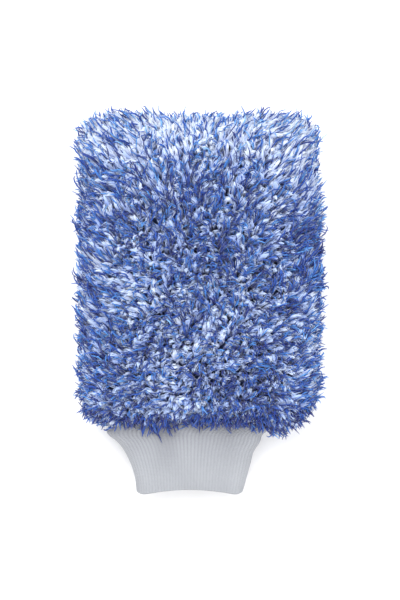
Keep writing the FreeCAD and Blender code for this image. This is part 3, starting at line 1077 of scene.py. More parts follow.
    def edge_tufts(self, pad: PadShape, cloth: PadShape, pitch: float,
                   random: np.random.Generator) -> Tufts:
        """Place tufts over the rolled edge, in rows round the mitt.

        Args:
            pad: The pile's outer shape.
            cloth: The cloth that it is rooted in.
            pitch: Distance between tufts.
            random: The source of the unevenness.

        Returns:
            The tufts.
        """
        arc = pad.edge_round * math.pi / 2
        rows = max(2, round((pad.wall + arc) / pitch))
        places, turns, heights = [], [], []
        for row in range(rows):
            level = (row + 0.5) / rows * (pad.wall + arc)
            inset = pad.edge_round * (1.0 - math.cos(max((level - pad.wall) / pad.edge_round, 0.0)))
            count = int(pad.round_length(inset) / pitch)
            shift = random.uniform() + random.uniform(-0.4, 0.4, count)
            travelled = level + random.uniform(-0.6, 0.6, count) * (pad.wall + arc) / rows
            turn = (travelled - pad.wall) / pad.edge_round
            places.append(pad.places(count, inset, shift))
            turns.append(np.where(turn < 0.0, travelled / pad.wall - 1.0, turn))
            heights.append(travelled / (pad.wall + arc))
        place = np.concatenate(places)
        turn = np.minimum(np.concatenate(turns), math.pi / 2)
        inner_turn = np.clip(np.concatenate(heights), 0.0, 1.0) * math.pi / 2
        tufts = self.make_tufts(pad, pad.edge(place, turn), cloth.edge(place, inner_turn), random)
        return self.open_passage(tufts, cloth)

    def open_passage(self, tufts: Tufts, cloth: PadShape) -> Tufts:
        """Leave out tufts where the cuff comes out, and root the others round its mouth.

        Args:
            tufts: The tufts of the rolled edge.
            cloth: The cloth that they are rooted in.

        Returns:
            The tufts that are left.
        """
        sideways, _, wide, tall = self.cuff.at(tufts.crest[:, 1])
        at_wrist = tufts.normal[:, 1] < -0.3
        rise = np.abs(tufts.crest[:, 2] - self.cuff.level)
        within = np.abs(tufts.crest[:, 0] - sideways) < wide + 2.0 * MM
        kept = tufts.pick(~(at_wrist & within & (rise < tall + 1.5 * MM)))
        mouth = self.cuff.at(kept.root[:, 1])[2] + 1.0 * MM
        near = (kept.normal[:, 1] < -0.3) & (np.abs(kept.root[:, 0]) < mouth)
        root_rise = np.abs(kept.root[:, 2] - self.cuff.level)
        least = 9.8 * MM + 0.2 * MM * np.mod(np.arange(len(root_rise)), 7)
        raised = np.where(near, np.maximum(root_rise, least), root_rise)
        kept.root[:, 2] = self.cuff.level + cloth.side * raised
        return kept

    def make_tufts(self, pad: PadShape, outer: tuple[Array, Array], inner: tuple[Array, Array],
                   random: np.random.Generator) -> Tufts:
        """Make tufts from their places, with their lean, height and colour.

        Args:
            pad: The pile's outer shape.
            outer: Points on it and their normals.
            inner: The roots on the base cloth and their normals.
            random: The source of the unevenness.

        Returns:
            The tufts.
        """
        crest, normal = outer
        root, root_normal = inner
        middle, reach = (pad.wrist + pad.finger) / 2, (pad.finger - pad.wrist) / 2
        across = crest[:, 0] / pad.half_width
        along = (crest[:, 1] - middle) / reach
        lean = self.comb(crest, normal, across, along, random)
        crest = self.lift(crest, normal, across, along, random)
        blue, tone = self.tint(crest, normal, across, along, random)
        return Tufts(root, root_normal, crest, normal, lean, along, blue, tone)

    def comb(self, crest: Array, normal: Array, across: Array, along: Array,
             random: np.random.Generator) -> Array:
        """Choose which way each tuft leans: in swirls, and out over the rim near it.

        Args:
            crest: Where the tufts come out.
            normal: The pile's outward direction there.
            across: Their places across the mitt, from -1 to 1.
            along: Their places along it, from -1 to 1.
            random: The source of the unevenness.

        Returns:
            A unit direction for each tuft.
        """
        count = len(crest)
        lean = sum(drift(crest, wave, seed, 3) * strength for wave, seed, strength in self.swirls)
        lean = lean + np.column_stack([across ** 3, along ** 3, np.zeros(count)]) * self.outward
        lean = lean + random.normal(size=(count, 3)) * self.restless
        lean = unit(square_part(lean, normal))
        upright = 1.0 - np.abs(normal[:, 2:])
        return unit(lean * (1.0 - 0.5 * upright) + normal * (0.1 + 0.8 * upright)
                    + np.array([0.0, 0.0, -self.droop]) * upright)

    def lift(self, crest: Array, normal: Array, across: Array, along: Array,
             random: np.random.Generator) -> Array:
        """Give the tufts their uneven heights, the crown its dome and the rim its swells.

        Args:
            crest: Places on the pile's outer shape.
            normal: Its outward direction there.
            across: Their places across the mitt, from -1 to 1.
            along: Their places along it, from -1 to 1.
            random: The source of the unevenness.

        Returns:
            The moved places.
        """
        upright = 1.0 - np.abs(normal[:, 2:])
        loft = (drift(crest, self.loft_wave, 13)[:, 0] * self.loft_swell
                + random.normal(size=len(crest)) * self.loft_random)
        loft -= self.inset + self.edge_inset * upright[:, 0]
        loft -= self.dome * np.maximum(np.abs(across), np.abs(along)) ** 3 * np.abs(normal[:, 2])
        lifted = crest + normal * loft[:, None]
        flat = unit(normal * np.array([1.0, 1.0, 0.0]) + 1e-6) * upright
        for swell in self.swells:
            off = (lifted[:, :2] / MM - np.array([swell.x, swell.y])) / swell.size
            lifted = lifted + flat * (swell.amount * MM * np.exp(-(off ** 2).sum(1)))[:, None]
        return lifted

    def tint(self, crest: Array, normal: Array, across: Array, along: Array,
             random: np.random.Generator) -> tuple[Array, Array]:
        """Choose which tufts are blue, and how light each tuft is, with a painted highlight on the
        upright rim.

        Args:
            crest: Where the tufts come out.
            normal: The pile's outward direction there.
            across: Their places across the mitt, from -1 to 1.
            along: Their places along it, from -1 to 1.
            random: The source of the unevenness.

        Returns:
            Whether each tuft is a blue one, and its tone, where 1 is light.
        """
        count = len(crest)
        upright = 1.0 - np.abs(normal[:, 2])
        # Whiter and lighter towards the fingertips. On the upright rim the same lift is a painted
        # highlight that makes the tufts lighter and less often blue.
        band = np.clip((along - self.light_band) / self.light_blend, 0.0, 1.0)
        light = np.clip(band + 0.5 * upright, 0.0, 1.0)
        chance = self.blueness(crest, across, along)
        blue = random.uniform(size=count) < chance - 0.5 * light
        tone = np.clip(0.5 + drift(crest, 18 * MM, 16)[:, 0] * 0.25
                       + random.uniform(-0.3, 0.3, count), 0.0, 1.0)
        tone += 0.55 * light - 0.5 * (chance - self.blue_share)
        return blue, tone

    def blueness(self, crest: Array, across: Array, along: Array) -> Array:
        """How likely each tuft is to be a blue one.

        Args:
            crest: Where the tufts come out.
            across: Their places across the mitt, from -1 to 1.
            along: Their places along it, from -1 to 1.

        Returns:
            A chance for each tuft.
        """
        value = np.full(len(crest), self.blue_share)
        for patch in self.patches:
            square = (across - patch.across) ** 2 + ((along - patch.along) * 1.26) ** 2
            value += patch.amount * np.exp(-square / patch.size ** 2)
        value += drift(crest, 24 * MM, 14)[:, 0] * 0.18
        return value

    def cores(self, tufts: Tufts, random: np.random.Generator) -> StrandBatch:
        """Make the soft body of each tuft.

        Args:
            tufts: The tufts.
            random: The source of the bodies' differences.

        Returns:
            One thick strand for each tuft.
        """
        count = len(tufts.root)
        cut = CUTS[Yarn.CORE]
        size = np.where(tufts.blue, 0.8, 1.05) * random.uniform(0.75, 1.2, count)
        reach = random.uniform(*self.white_reach, count)[:, None] * MM
        along_surface = square_part(tufts.lean, tufts.normal)
        sunk = np.where(tufts.blue, 1.2, 0.0) * MM + cut.radius * 0.8
        tip = tufts.crest + along_surface * reach * 0.45 - tufts.normal * sunk[:, None]
        rise = np.linalg.norm(tufts.crest - tufts.root, axis=1, keepdims=True)
        knots = np.stack([tufts.root, tufts.root + tufts.root_normal * rise * 0.5,
                          tip - tufts.lean * reach * 0.75, tip], axis=1)
        return StrandBatch(knots, cut.radius * size, tufts.tone, cut)

    def fibres(self, cores: StrandBatch, random: np.random.Generator) -> StrandBatch:
        """Make the loose fibres round each tuft's body.

        Args:
            cores: The bodies.
            random: The source of the fibres' differences.

        Returns:
            The fibres.
        """
        cut = CUTS[Yarn.FIBRE]
        chosen = np.repeat(np.arange(len(cores.knots)), self.fibres_per_tuft)
        knots, size = cores.knots[chosen], cores.radius[chosen][:, None]
        end = unit(knots[:, 3] - knots[:, 2])
        aside = random.normal(size=(len(chosen), 3))
        aside = unit(square_part(aside, end))
        aside *= size * random.uniform(0.7, 1.9, (len(chosen), 1))
        extra = random.uniform(-2.0, 2.0, (len(chosen), 1)) * MM
        flared = np.stack([knots[:, 0] + aside * 0.3, knots[:, 1] + aside * 0.7,
                           knots[:, 2] + aside, knots[:, 3] + aside * 0.95 + end * extra], axis=1)
        radius = cut.radius * random.uniform(0.7, 1.2, len(chosen))
        tone = np.clip(cores.tone[chosen] + random.uniform(-0.25, 0.3, len(chosen)), 0.0, 1.0)
        return StrandBatch(flared, radius, tone, cut)

    def overhang(self, strand: Tufts, hanging: Array, random: np.random.Generator) -> Array:
        """How much longer the loose strands over the cuff are, most where the longest hang.

        Args:
            strand: A tuft for each strand.
            hanging: Whether each strand hangs over the cuff.
            random: The source of the strands' differences.

        Returns:
            A length for each strand.
        """
        off = (strand.crest[:, 0] - self.stray_place) / self.stray_width
        share = 0.25 + 0.75 * np.exp(-off ** 2)
        stray = share * self.stray_length * random.uniform(size=len(off)) ** 2
        return stray[:, None] * hanging

    def blues(self, tufts: Tufts, density: float, random: np.random.Generator) -> StrandBatch:
        """Make the crisp blue strands, in small bundles over and between white tufts.

        Args:
            tufts: The tufts that they come from.
            density: Share of the full number of strands.
            random: The source of the strands' differences.

        Returns:
            The strands.
        """
        cut = CUTS[Yarn.BLUE]
        bundle = tufts.pick(np.repeat(np.arange(len(tufts.root)), self.bundles_per_tuft))
        count = len(bundle.root)
        shift = square_part(random.normal(size=(count, 3)) * self.bundle_spread, bundle.normal)
        turned = unit(bundle.lean + random.normal(size=(count, 3)) * 0.6)
        number = np.where(bundle.blue, random.uniform(*self.many, count),
                          random.uniform(*self.few, count)) * density
        number = np.floor(np.maximum(number, 0.0) + random.uniform(size=count)).astype(int)
        shade = random.uniform(0.0, 0.75, count) + 0.35 * (bundle.tone - 0.5)
        chosen = np.repeat(np.arange(count), number)
        strand = bundle.pick(chosen)
        count = len(chosen)
        hanging = ((strand.normal[:, 1] < -0.3) & (strand.normal[:, 2] > 0.2))[:, None]
        lean = unit(turned[chosen] + np.array([0.0, -1.2, -0.1]) * hanging)
        reach = random.uniform(*self.blue_reach, len(turned))[chosen][:, None] * MM
        spread, fan = random.normal(size=(2, count, 3)) * MM
        over = random.uniform(-0.8, 2.4, count)[:, None] * MM
        crest = (strand.crest + shift[chosen] + strand.normal * over
                 + square_part(lean, strand.normal) * reach * 0.45)
        longer = random.uniform(-2.5, 2.5, count)[:, None] * MM
        longer += self.overhang(strand, hanging, random)
        rise = np.linalg.norm(strand.crest - strand.root, axis=1, keepdims=True)
        knots = np.stack([strand.root + spread * 0.3, strand.root + strand.root_normal * rise * 0.6,
                          crest - lean * reach * 0.7 + spread * 0.6,
                          crest + spread * 0.6 + fan * 1.4 + lean * longer], axis=1)
        radius = cut.radius * random.uniform(0.75, 1.25, count) * (1.0 + 0.2 * hanging[:, 0])
        shade = shade[chosen] - 0.22 * hanging[:, 0]
        tone = np.clip(shade + random.uniform(-0.15, 0.15, count), 0.0, 1.0)
        return StrandBatch(knots, radius, tone, cut)

    def build_patch(self, name: str, tufts: Tufts, density: float,
                    random: np.random.Generator) -> list[bpy.types.Object]:
        """Make the pieces of one patch: white bodies, their fibres and the blue strands.

        Args:
            name: The patch's name.
            tufts: Its tufts.
            density: Share of the full number of blue strands.
            random: The source of the strands' differences.

        Returns:
            The pieces.
        """
        cores = self.cores(tufts, random)
        batches = {Yarn.CORE: cores, Yarn.FIBRE: self.fibres(cores, random),
                   Yarn.BLUE: self.blues(tufts, density, random)}
        made = []
        for yarn, batch in batches.items():
            piece = batch.build(f"{name}_{yarn.value}", self.materials[yarn], self.guide, random)
            made.append(piece)
        return made

    def build_half(self, name: str, pad: PadShape, cloth: PadShape, pitch: float, density: float,
                   random: np.random.Generator) -> list[bpy.types.Object]:
        """Make the pile of the front or the back, and give each piece away from the wrist fringe its
        body.

        Args:
            name: Which half it is.
            pad: The pile's outer shape.
            cloth: The cloth that it is rooted in.
            pitch: Distance between tufts.
            density: Share of the full number of blue strands.
            random: The source of the unevenness.

        Returns:
            The pieces.
        """
        crown = self.crown_tufts(pad, cloth, pitch, random)
        edge = self.edge_tufts(pad, cloth, pitch, random)
        fringe = (edge.normal[:, 1] < -0.3) & (edge.crest[:, 1] < pad.wrist + 24 * MM)
        fringe &= np.abs(edge.crest[:, 0]) < self.cuff.half_width[0] * MM + 12 * MM
        still = []
        for row in range(self.row_count):
            low = -1.01 + 2.02 * row / self.row_count
            high = low + 2.02 / self.row_count
            chosen = (crown.share_along >= low) & (crown.share_along < high)
            still += self.build_patch(f"{name}_pile_{row}", crown.pick(chosen), density, random)
        rim = edge.pick(~fringe)
        for label, sign in (("left", -1.0), ("right", 1.0)):
            chosen = rim.crest[:, 0] * sign > 0.0
            still += self.build_patch(f"{name}_edge_{label}", rim.pick(chosen), density, random)
        for piece in still:
            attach(piece, MITT)
        flexing = self.build_patch(f"{name}_fringe", edge.pick(fringe), density, random)
        for piece in flexing:
            blend_at_wrist(piece)
        for piece in still + flexing:
            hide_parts(f"{name}_pile")
        return still + flexing

    def build(self) -> list[bpy.types.Object]:
        """Make the pile of both halves.

        Returns:
            The pieces.
        """
        front = self.build_half("front", self.front, self.front_cloth, self.pitch, 1.0,
                                np.random.default_rng(21))
        back = self.build_half("back", self.back, self.back_cloth, self.back_pitch, 0.8,
                               np.random.default_rng(22))
        return front + back


def blend_at_wrist(piece: bpy.types.Object) -> None:
    """Fix a piece's placement into its own mesh; it is not made to bend with the cuff.

    Args:
        piece: A piece that crosses the flex line.
    """
    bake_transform(piece)


# ------------------------------------------------------------------ sewn cloths

@dataclass
class SewnSkin:
    """Half of a sewn pocket: one thin cloth over a pad shape, open at the wrist.

    Attributes:
        name: The piece's name.
        node: The CAD node that it stands for.
        shape: The half pillow that it follows.
        gauge: The cloth's thickness.
        flat: Width and length of the cut cloth; not used.
        mouth_width: Half the width of the opening for the cuff.
        mouth_height: Half the height of that opening.
        allowance: How far the cloth goes on past the seam.
        under: The piece that it rests on; not used.
        step: Distance between vertices along the seam.
        upright: Shares of the upright wall, under zero, where it has a row.
        allowance_rows: Rows of vertices over the allowance.
        rolled_rows: Rows over the rolled edge.
        flat_rows: Rows from the rolled edge to the middle line.
    """

    name: str
    node: str
    shape: PadShape
    gauge: float
    flat: tuple[float, float]
    mouth_width: float
    mouth_height: float
    allowance: float
    under: str
    step: float = 2.4 * MM
    upright: tuple[float, ...] = (-0.9, -0.45)
    allowance_rows: int = 4
    rolled_rows: int = 8
    flat_rows: int = 25

    def rows(self) -> list[Array]:
        """Lay out the cloth from its allowance to its middle line.

        Returns:
            The points of each row.
        """
        columns = int(self.shape.round_length(0.0) / self.step)
        place = self.shape.places(columns, 0.0)
        flat, normal = self.shape.outline(place)
        half = self.gauge / 2
        level = self.shape.seam_level + self.shape.side * half
        found = []
        for inset in np.linspace(self.allowance, half, self.allowance_rows) if self.allowance else []:
            found.append(np.column_stack([flat - normal * inset, np.full(columns, level)]))
        for turn in [*self.upright, *np.linspace(0.0, math.pi / 2, self.rolled_rows)]:
            points, outward = self.shape.edge(place, np.full(columns, turn))
            found.append(points - outward * half)
        border = found[-1]
        reach = (self.shape.finger - self.shape.wrist) / 2 - self.shape.half_width
        middle = (self.shape.finger + self.shape.wrist) / 2
        spine = np.column_stack([np.zeros(columns), np.clip(border[:, 1], middle - reach, middle + reach),
                                 border[:, 2]])
        for share in np.linspace(0.0, 1.0, self.flat_rows + 1)[1:]:
            found.append(border + (spine - border) * share)
        return found

    def build(self, material: bpy.types.Material) -> bpy.types.Object:
        """Args:
            material: The cloth's material.

        Returns:
            The piece.
        """
        found = self.rows()
        columns = len(found[0])
        points = np.concatenate(found)
        quads = grid_faces(len(found), columns, False, True)
        if self.shape.side < 0:
            quads = quads[:, ::-1]
        centre = points[quads].mean(axis=1)
        rise = np.abs(centre[:, 2] - self.shape.seam_level)
        open_part = ((np.abs(centre[:, 0]) < self.mouth_width) & (rise < self.mouth_height)
                     & (centre[:, 1] < self.shape.wrist + 0.5 * self.shape.edge_round + self.allowance))
        quads = quads[~open_part]
        piece = new_piece(self.name, material, points, quads.ravel(), np.full(len(quads), 4))
        mesh = bmesh.new()
        mesh.from_mesh(piece.data)
        bmesh.ops.remove_doubles(mesh, verts=mesh.verts, dist=0.05 * MM)
        loose = [vertex for vertex in mesh.verts if not vertex.link_faces]
        bmesh.ops.delete(mesh, geom=loose, context="VERTS")
        mesh.to_mesh(piece.data)
        mesh.free()
        thicken = piece.modifiers.new("gauge", "SOLIDIFY")
        thicken.thickness = self.gauge
        thicken.offset = 0.0
        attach(piece, MITT)
        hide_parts(self.node)
        return piece


# ------------------------------------------------------------------ the rib-knit cuff

@dataclass
class RibCuff:
    """The cuff as one knitted tube, folded double at its hem, with ribs down its length.

    Attributes:
        shape: The flattened tube that it follows.
        ribs: How many ribs there are round it.
        steps_per_rib: Vertices across one rib.
        outer_ply: Thickness of the outer ply.
        inner_ply: Thickness of the inner ply.
        wall: Thickness of both plies and the gap between them.
        rib_depth: Depth of the valleys between ribs.
        course: Length of one row of stitches.
        sunk: How far the knit starts inside the mitt from the sewn end's edge.
        sag_wave: Typical size of the slack places in the knit.
        sag_depth: How far they stand out or in.
        flat: Width and length of the knit before it is folded; not used.
        outer_rows: Rows of vertices down the outside.
        hem_rows: Rows round the hem's fold.
        inner_rows: Rows up the inside.
        between_rows: Rows on each side of the gap between the plies.
    """

    shape: CuffShape
    ribs: int = 84
    steps_per_rib: int = 6
    outer_ply: float = 1.3 * MM
    inner_ply: float = 1.1 * MM
    wall: float = 3.0 * MM
    rib_depth: float = 0.48 * MM
    course: float = 1.15 * MM
    sunk: float = 4.0 * MM
    sag_wave: float = 26.0 * MM
    sag_depth: float = 0.7 * MM
    flat: tuple[float, float] = (0.215, 0.122)
    outer_rows: int = 44
    hem_rows: int = 7
    inner_rows: int = 26
    between_rows: int = 12

    def profile(self) -> tuple[Array, Array, Array]:
        """Lay out the wall's section, down the outside, round the hem and up the inside.

        Returns:
            Place along the cuff, depth under the outer surface, and 1 on the outside
            skin, -1 on the skin that faces the wrist and 0 between the plies.
        """
        top, bottom = self.shape.start - self.sunk, self.shape.hem
        fold = self.wall / 2
        down = np.linspace(top, bottom + fold, self.outer_rows)
        angle = np.linspace(0.0, math.pi, self.hem_rows + 2)[1:-1]
        hem_y = bottom + fold - fold * np.sin(angle)
        hem_depth = fold - fold * np.cos(angle)
        up = np.linspace(bottom + fold, top, self.inner_rows)
        inside = np.linspace(top, bottom + fold + 1.0 * MM, self.between_rows)
        place = np.concatenate([down, hem_y, up, inside, inside[::-1]])
        depth = np.concatenate([np.zeros_like(down), hem_depth, np.full_like(up, self.wall),
                                np.full_like(inside, self.wall - self.inner_ply),
                                np.full_like(inside, self.outer_ply)])
        skin = np.concatenate([np.ones_like(down), np.cos(angle), -np.ones_like(up),
                               np.zeros(2 * len(inside))])
        return place, depth, skin

    def shade(self, crest: Array, travel: Array, sag: Array, skin: Array) -> Array:
        """Paint shade into the knit: darker in the rib valleys, in the pile's shadow near the sewn end
        and in the shadow of the hem's fold.

        Args:
            crest: How near each point is to the top of its rib, from 0 to 1.
            travel: Shares of the way to the hem.
            sag: Where the knit is slack, from about -1 to 1.
            skin: Which skin each row is on.

        Returns:
            A number from 0, dark, to 1, light, at each point.
        """
        # Painted shadow of the pile over the knit, clearing towards the hem; the painted shade of the rib
        # valleys fades with it.
        clear = np.clip((travel - 0.3) / 0.5, 0.0, 1.0)
        ribbed = crest * (0.32 - 0.14 * clear) * (1.0 + 0.6 * sag)
        # Painted shadow in the hem's fold.
        hem = np.clip(1.0 - np.abs(skin[:, None] - 0.4) / 0.55, 0.0, 1.0)
        return (0.34 + 0.42 * clear + ribbed) * (1.0 - 0.9 * hem)

    def build(self, material: bpy.types.Material) -> bpy.types.Object:
        """Make the cuff.

        Args:
            material: The knit's material.

        Returns:
            The piece.
        """
        place, depth, skin = self.profile()
        columns = self.ribs * self.steps_per_rib
        turn = np.arange(columns) / columns
        y, around = np.meshgrid(place, turn, indexing="ij")
        inset = np.repeat(depth[:, None], columns, axis=1)
        points, normal = self.shape.ring(around, y, inset)
        wave = 0.5 + 0.5 * np.cos(around * self.ribs * 2 * math.pi)
        crest = wave ** 0.7
        travel = self.shape.travel(y)
        sink = (1.0 - crest) * self.rib_depth * (0.75 + 0.25 * travel)
        stretched = points.reshape(-1, 3) * np.array([1.0, 0.45, 1.0])
        sag = drift(stretched, self.sag_wave, 31).reshape(y.shape)
        give = sag * self.sag_depth * (1.0 - 0.5 * travel)
        shade = self.shade(crest, travel, sag, skin)
        points = self.shape.arch(points + normal * (give - sink * skin[:, None])[..., None])
        knit = np.stack([around * self.ribs, (self.shape.start - y) / self.course,
                         np.zeros_like(y)], axis=-1)
        quads = grid_faces(len(place), columns, True, True)
        # The 'crest' attribute carries this painted shade, not only the ribs' crests.
        values = {"knit": knit.reshape(-1, 3), "crest": shade.ravel()}
        piece = new_piece("rib_cuff", material, points.reshape(-1, 3), quads[:, ::-1].ravel(),
                          np.full(len(quads), 4), values)
        blend_at_wrist(piece)
        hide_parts("cuff_sleeve", "cuff_seam_band")
        return piece


# ------------------------------------------------------------------ threads

@dataclass
class SeamThreads:
    """The stitches: an overlock chain round each seam, and the fingertip tacks.

    Attributes:
        cloth: The shape whose seam joins the two base cloths.
        lining: The shape whose seam joins the two linings.
        cuff: The shape of the cuff.
        material: The sewing thread's material.
        allowance: How far inside the cloths' edge their seam runs.
        seam_start: Where round the outline the seams start, at one side of the wrist.
        seam_end: Where they end, at its other side.
        elastic_count: How many elastic threads there are.
        elastic_depth: How deep in the cuff's wall they lie.
        elastic_radius: Their radius.
    """

    cloth: PadShape
    lining: PadShape
    cuff: CuffShape
    material: bpy.types.Material
    allowance: float = 6.0 * MM
    seam_start: float = 1.6
    seam_end: float = 7.4
    elastic_count: int = 9
    elastic_depth: float = 1.6 * MM
    elastic_radius: float = 0.22 * MM

    def coil(self, name: str, node: str, path: Array, inward: Array, size: tuple[float, float],
             pitch: float, radius: float) -> bpy.types.Object:
        """Wind a thread round a seam line.

        Args:
            name: The piece's name.
            node: The CAD node that it stands for.
            path: Points along the seam.
            inward: At each point, the unit direction across the seam.
            size: Half width and half height of the winding.
            pitch: Distance from one stitch to the next.
            radius: The thread's radius.

        Returns:
            The piece.
        """
        travelled = distance_along(path)
        at = np.linspace(0.0, travelled[-1], int(travelled[-1] / pitch * 8))
        line = np.column_stack([np.interp(at, travelled, path[:, k]) for k in range(3)])
        across = unit(np.column_stack([np.interp(at, travelled, inward[:, k]) for k in range(3)]))
        ahead = unit(np.gradient(line, axis=0))
        up = np.cross(ahead, across)
        angle = at / pitch * 2 * math.pi
        line = (line + across * (size[0] * np.cos(angle))[:, None]
                + up * (size[1] * np.sin(angle))[:, None])
        return self.tube(name, node, [line], radius)

    def tube(self, name: str, node: str, lines: list[Array], radius: float,
             body: str = MITT) -> bpy.types.Object:
        """Make round threads along lines of points.

        Args:
            name: The piece's name.
            node: The CAD node that it stands for.
            lines: Points along each thread.
            radius: The thread's radius.
            body: The body that the threads move with.

        Returns:
            The piece.
        """
        sides = 5
        angle = np.arange(sides) / sides * 2 * math.pi
        vertices, faces, sizes, offset = [], [], [], 0
        for line in lines:
            ahead = unit(np.gradient(line, axis=0))
            first = unit(np.cross(ahead, np.array([0.21, 0.34, 0.92])))
            second = np.cross(ahead, first)
            ring = (first[:, None] * np.cos(angle)[None, :, None]
                    + second[:, None] * np.sin(angle)[None, :, None]) * radius
            vertices.append((line[:, None] + ring).reshape(-1, 3))
            quads = grid_faces(len(line), sides, False, True)
            caps = np.concatenate([np.arange(sides)[::-1],
                                   (len(line) - 1) * sides + np.arange(sides)])
            faces.append(np.concatenate([quads.ravel(), caps]) + offset)
            sizes.append(np.concatenate([np.full(len(quads), 4), [sides, sides]]))
            offset += len(line) * sides
        piece = new_piece(name, self.material, np.concatenate(vertices), np.concatenate(faces),
                          np.concatenate(sizes))
        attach(piece, body)
        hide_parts(node)
        return piece

    def elastics(self, material: bpy.types.Material) -> bpy.types.Object:
        """Lay the elastic threads round between the plies of the cuff.

        Args:
            material: The covered elastic's material.

        Returns:
            The piece.
        """
        low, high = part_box("cuff_elastic")
        turn = np.linspace(0.0, 1.0, 161)
        rings = []
        for y in np.linspace(low.y + 0.5 * MM, high.y - 0.5 * MM, self.elastic_count):
            depth = np.full_like(turn, self.elastic_depth)
            points, _ = self.cuff.ring(turn, np.full_like(turn, y), depth)
            rings.append(self.cuff.arch(points))
        piece = self.tube("elastic_threads", "cuff_elastic", rings, self.elastic_radius, CUFF)
        piece.data.materials.clear()
        piece.data.materials.append(material)
        return piece

    def overlock(self, name: str, node: str, pad: PadShape, inset: float,
                 size: tuple[float, float], pitch: float, radius: float) -> bpy.types.Object:
        """Sew the seam between two halves of a pocket.

        Args:
            name: The piece's name.
            node: The CAD node that it stands for.
            pad: The shape whose outline the seam follows.
            inset: How far inside the outline it runs.
            size: Half width and half height of the stitches.
            pitch: Distance from one stitch to the next.
            radius: The thread's radius.

        Returns:
            The piece.
        """
        flat, normal = pad.outline(np.linspace(self.seam_start, self.seam_end, 700))
        path = np.column_stack([flat - normal * inset, np.full(len(flat), pad.seam_level)])
        inward = np.column_stack([normal, np.zeros(len(flat))])
        return self.coil(name, node, path, inward, size, pitch, radius)

    def cuff_overlock(self) -> bpy.types.Object:
        """Sew the cuff into the mouth of the mitt.

        Returns:
            The piece.
        """
        turn = np.linspace(0.0, 1.0, 400)
        y = np.full_like(turn, self.cuff.start - 1.5 * MM)
        path, outward = self.cuff.ring(turn, y, np.full_like(turn, -0.1 * MM))
        return self.coil("cuff_overlock", "cuff_join_thread", path, outward,
                         (0.5 * MM, 1.4 * MM), 2.4 * MM, 0.18 * MM)

    def tacks(self) -> bpy.types.Object:
        """Tack the lining's fingertips to the shell's allowance, three times at each side.

        Returns:
            The piece.
        """
        low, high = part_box("lining_tack_threads")
        share = np.linspace(0.0, 1.0, 12)
        y = low.y + (high.y - low.y) * share
        level = np.full_like(share, (low.z + high.z) / 2)
        lines = []
        for sign in (-1.0, 1.0):
            for step in (-1.0, 0.0, 1.0):
                x = sign * (high.x - 2.6 * MM) + step * 2.2 * MM + 0.5 * MM * np.sin(share * 6.0)
                lines.append(np.column_stack([x, y, level]))
        return self.tube("fingertip_tacks", "lining_tack_threads", lines, 0.25 * MM)

    def build(self) -> list[bpy.types.Object]:
        """Make all the stitches.

        Returns:
            The pieces.
        """
        shell = self.overlock("shell_overlock", "shell_seam_thread", self.cloth, self.allowance,
                              (2.4 * MM, 1.5 * MM), 3.2 * MM, 0.2 * MM)
        lining = self.overlock("lining_overlock", "lining_seam_thread", self.lining, 0.0,
                               (0.8 * MM, 1.0 * MM), 2.6 * MM, 0.16 * MM)
        return [shell, lining, self.cuff_overlock(), self.tacks()]


# ------------------------------------------------------------------ studio

@dataclass
class Studio:
    """Pale floor, soft lights and the camera straight above the mitt.

    Attributes:
        camera_height: How far the camera is above the floor.
        camera_shift: How far it is towards the fingertips from the mitt's middle.
        lens: Its focal length in mm.
        sky: Strength of the white light from all round.
        floor_size: Side of the floor.
    """

    camera_height: float = 1.092
    camera_shift: float = 2.0 * MM
    lens: float = 85.0
    sky: float = 1.05
    floor_size: float = 6.0

    def build_floor(self) -> None:
        """Lay the floor."""
        half = self.floor_size / 2
        corners = np.array([[-half, -half, 0], [half, -half, 0], [half, half, 0], [-half, half, 0]])
        floor = new_piece("floor", FloorFinish().material(), corners, np.arange(4), np.array([4]))

    def add_light(self, name: str, place: tuple[float, float, float], size: float,
                  power: float) -> None:
        """Hang a square soft light that points at the mitt.

        Args:
            name: The light's name.
            place: Where it hangs.
            size: Its side.
            power: Its power in watts.
        """
        data = bpy.data.lights.new(name, "AREA")
        data.size = size
        data.energy = power
        light = bpy.data.objects.new(name, data)
        light.location = place
        bpy.context.scene.collection.objects.link(light)
        direction = -light.location
        light.rotation_euler = direction.to_track_quat("-Z", "Y").to_euler()

    def build(self) -> None:
        """Set up the floor, the lights, the world and the camera."""
        self.build_floor()
        self.add_light("key", (-0.3, 0.9, 1.6), 1.3, 28.0)
        self.add_light("fill", (0.7, -0.7, 1.5), 1.6, 10.0)
        world = bpy.data.worlds.new("studio")
        world.use_nodes = True
        background = world.node_tree.nodes["Background"]
        background.inputs["Color"].default_value = (1.0, 1.0, 1.0, 1.0)
        background.inputs["Strength"].default_value = self.sky
        scene = bpy.context.scene
        scene.world = world
        scene.view_settings.view_transform = "Standard"
        data = bpy.data.cameras.new("camera")
        data.lens = self.lens
        data.sensor_width = 36.0
        camera = bpy.data.objects.new("camera", data)
        low, high = CAD_BOX
        camera.location = ((low[0] + high[0]) / 2, (low[1] + high[1]) / 2 + self.camera_shift,
                           self.camera_height)
        scene.collection.objects.link(camera)
        scene.camera = camera


# ------------------------------------------------------------------ the whole mitt

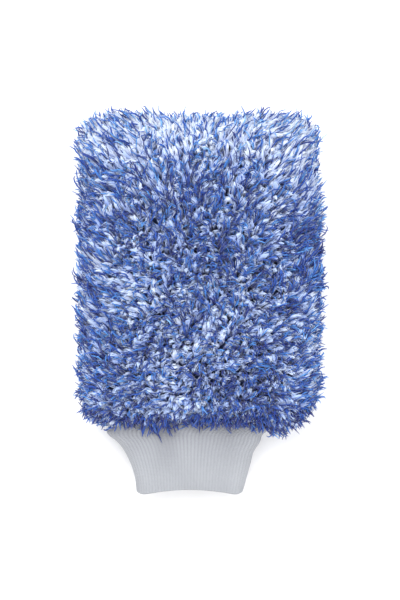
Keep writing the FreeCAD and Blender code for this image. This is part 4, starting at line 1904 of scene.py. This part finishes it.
def main() -> None:
    """Build the mitt piece by piece and report each one."""
    logging.basicConfig(level=logging.INFO, format="%(message)s")
    Studio().build()
    cuff = CuffShape.from_nodes()
    cloth_rounds = (14.0 * MM, 24.0 * MM, 11.0 * MM)
    lining_rounds = (12.0 * MM, 20.0 * MM, 9.5 * MM)
    pile_rounds = (32.0 * MM, 30.0 * MM, 24.0 * MM)
    pads = {node: PadShape.from_node(node, *rounds) for node, rounds in (
        ("front_pile", pile_rounds), ("back_pile", pile_rounds),
        ("front_base_cloth", cloth_rounds), ("back_base_cloth", cloth_rounds),
        ("front_lining", lining_rounds), ("back_lining", lining_rounds))}
    ground = ClothFinish("ground_knit", "8FA3D8", "31488F", 1.4 * MM).material()
    soft = ClothFinish("lining_cloth", "E4E6EC", "B4B9C6", 0.9 * MM).material()
    made = [RibCuff(cuff).build(RibKnitFinish().material())]
    for side, under in (("front", "back_ground_cloth"), ("back", "back_pile_0_core")):
        node = f"{side}_base_cloth"
        skin = SewnSkin(f"{side}_ground_cloth", node, pads[node], gauge=1.2 * MM,
                        flat=(0.174, 0.236), mouth_width=63.0 * MM, mouth_height=9.4 * MM,
                        allowance=6.0 * MM, under=under)
        made.append(skin.build(ground))
    for side, under in (("front", "back_lining_cloth"), ("back", "back_ground_cloth")):
        node = f"{side}_lining"
        skin = SewnSkin(f"{side}_lining_cloth", node, pads[node], gauge=0.8 * MM,
                        flat=(0.152, 0.212), mouth_width=60.0 * MM, mouth_height=6.8 * MM,
                        allowance=0.0, under=under)
        made.append(skin.build(soft))
    thread = ThreadFinish("sewing_thread", "F0F1F4", "A8AEBC").material()
    threads = SeamThreads(pads["front_base_cloth"], pads["front_lining"], cuff, thread)
    made += threads.build()
    made.append(threads.elastics(ThreadFinish("elastic_thread", "F1EEE6", "C9C4B6").material()))
    made += Pile(pads["front_pile"], pads["back_pile"], pads["front_base_cloth"],
                 pads["back_base_cloth"], cuff).build()
    total = 0
    for piece in made:
        triangles = sum(len(face.vertices) - 2 for face in piece.data.polygons)
        total += triangles
        LOG.info("%s: %d triangles", piece.name, triangles)
    LOG.info("whole mitt: %d pieces, %d triangles", len(made), total)


if __name__ == "__main__":
    main()
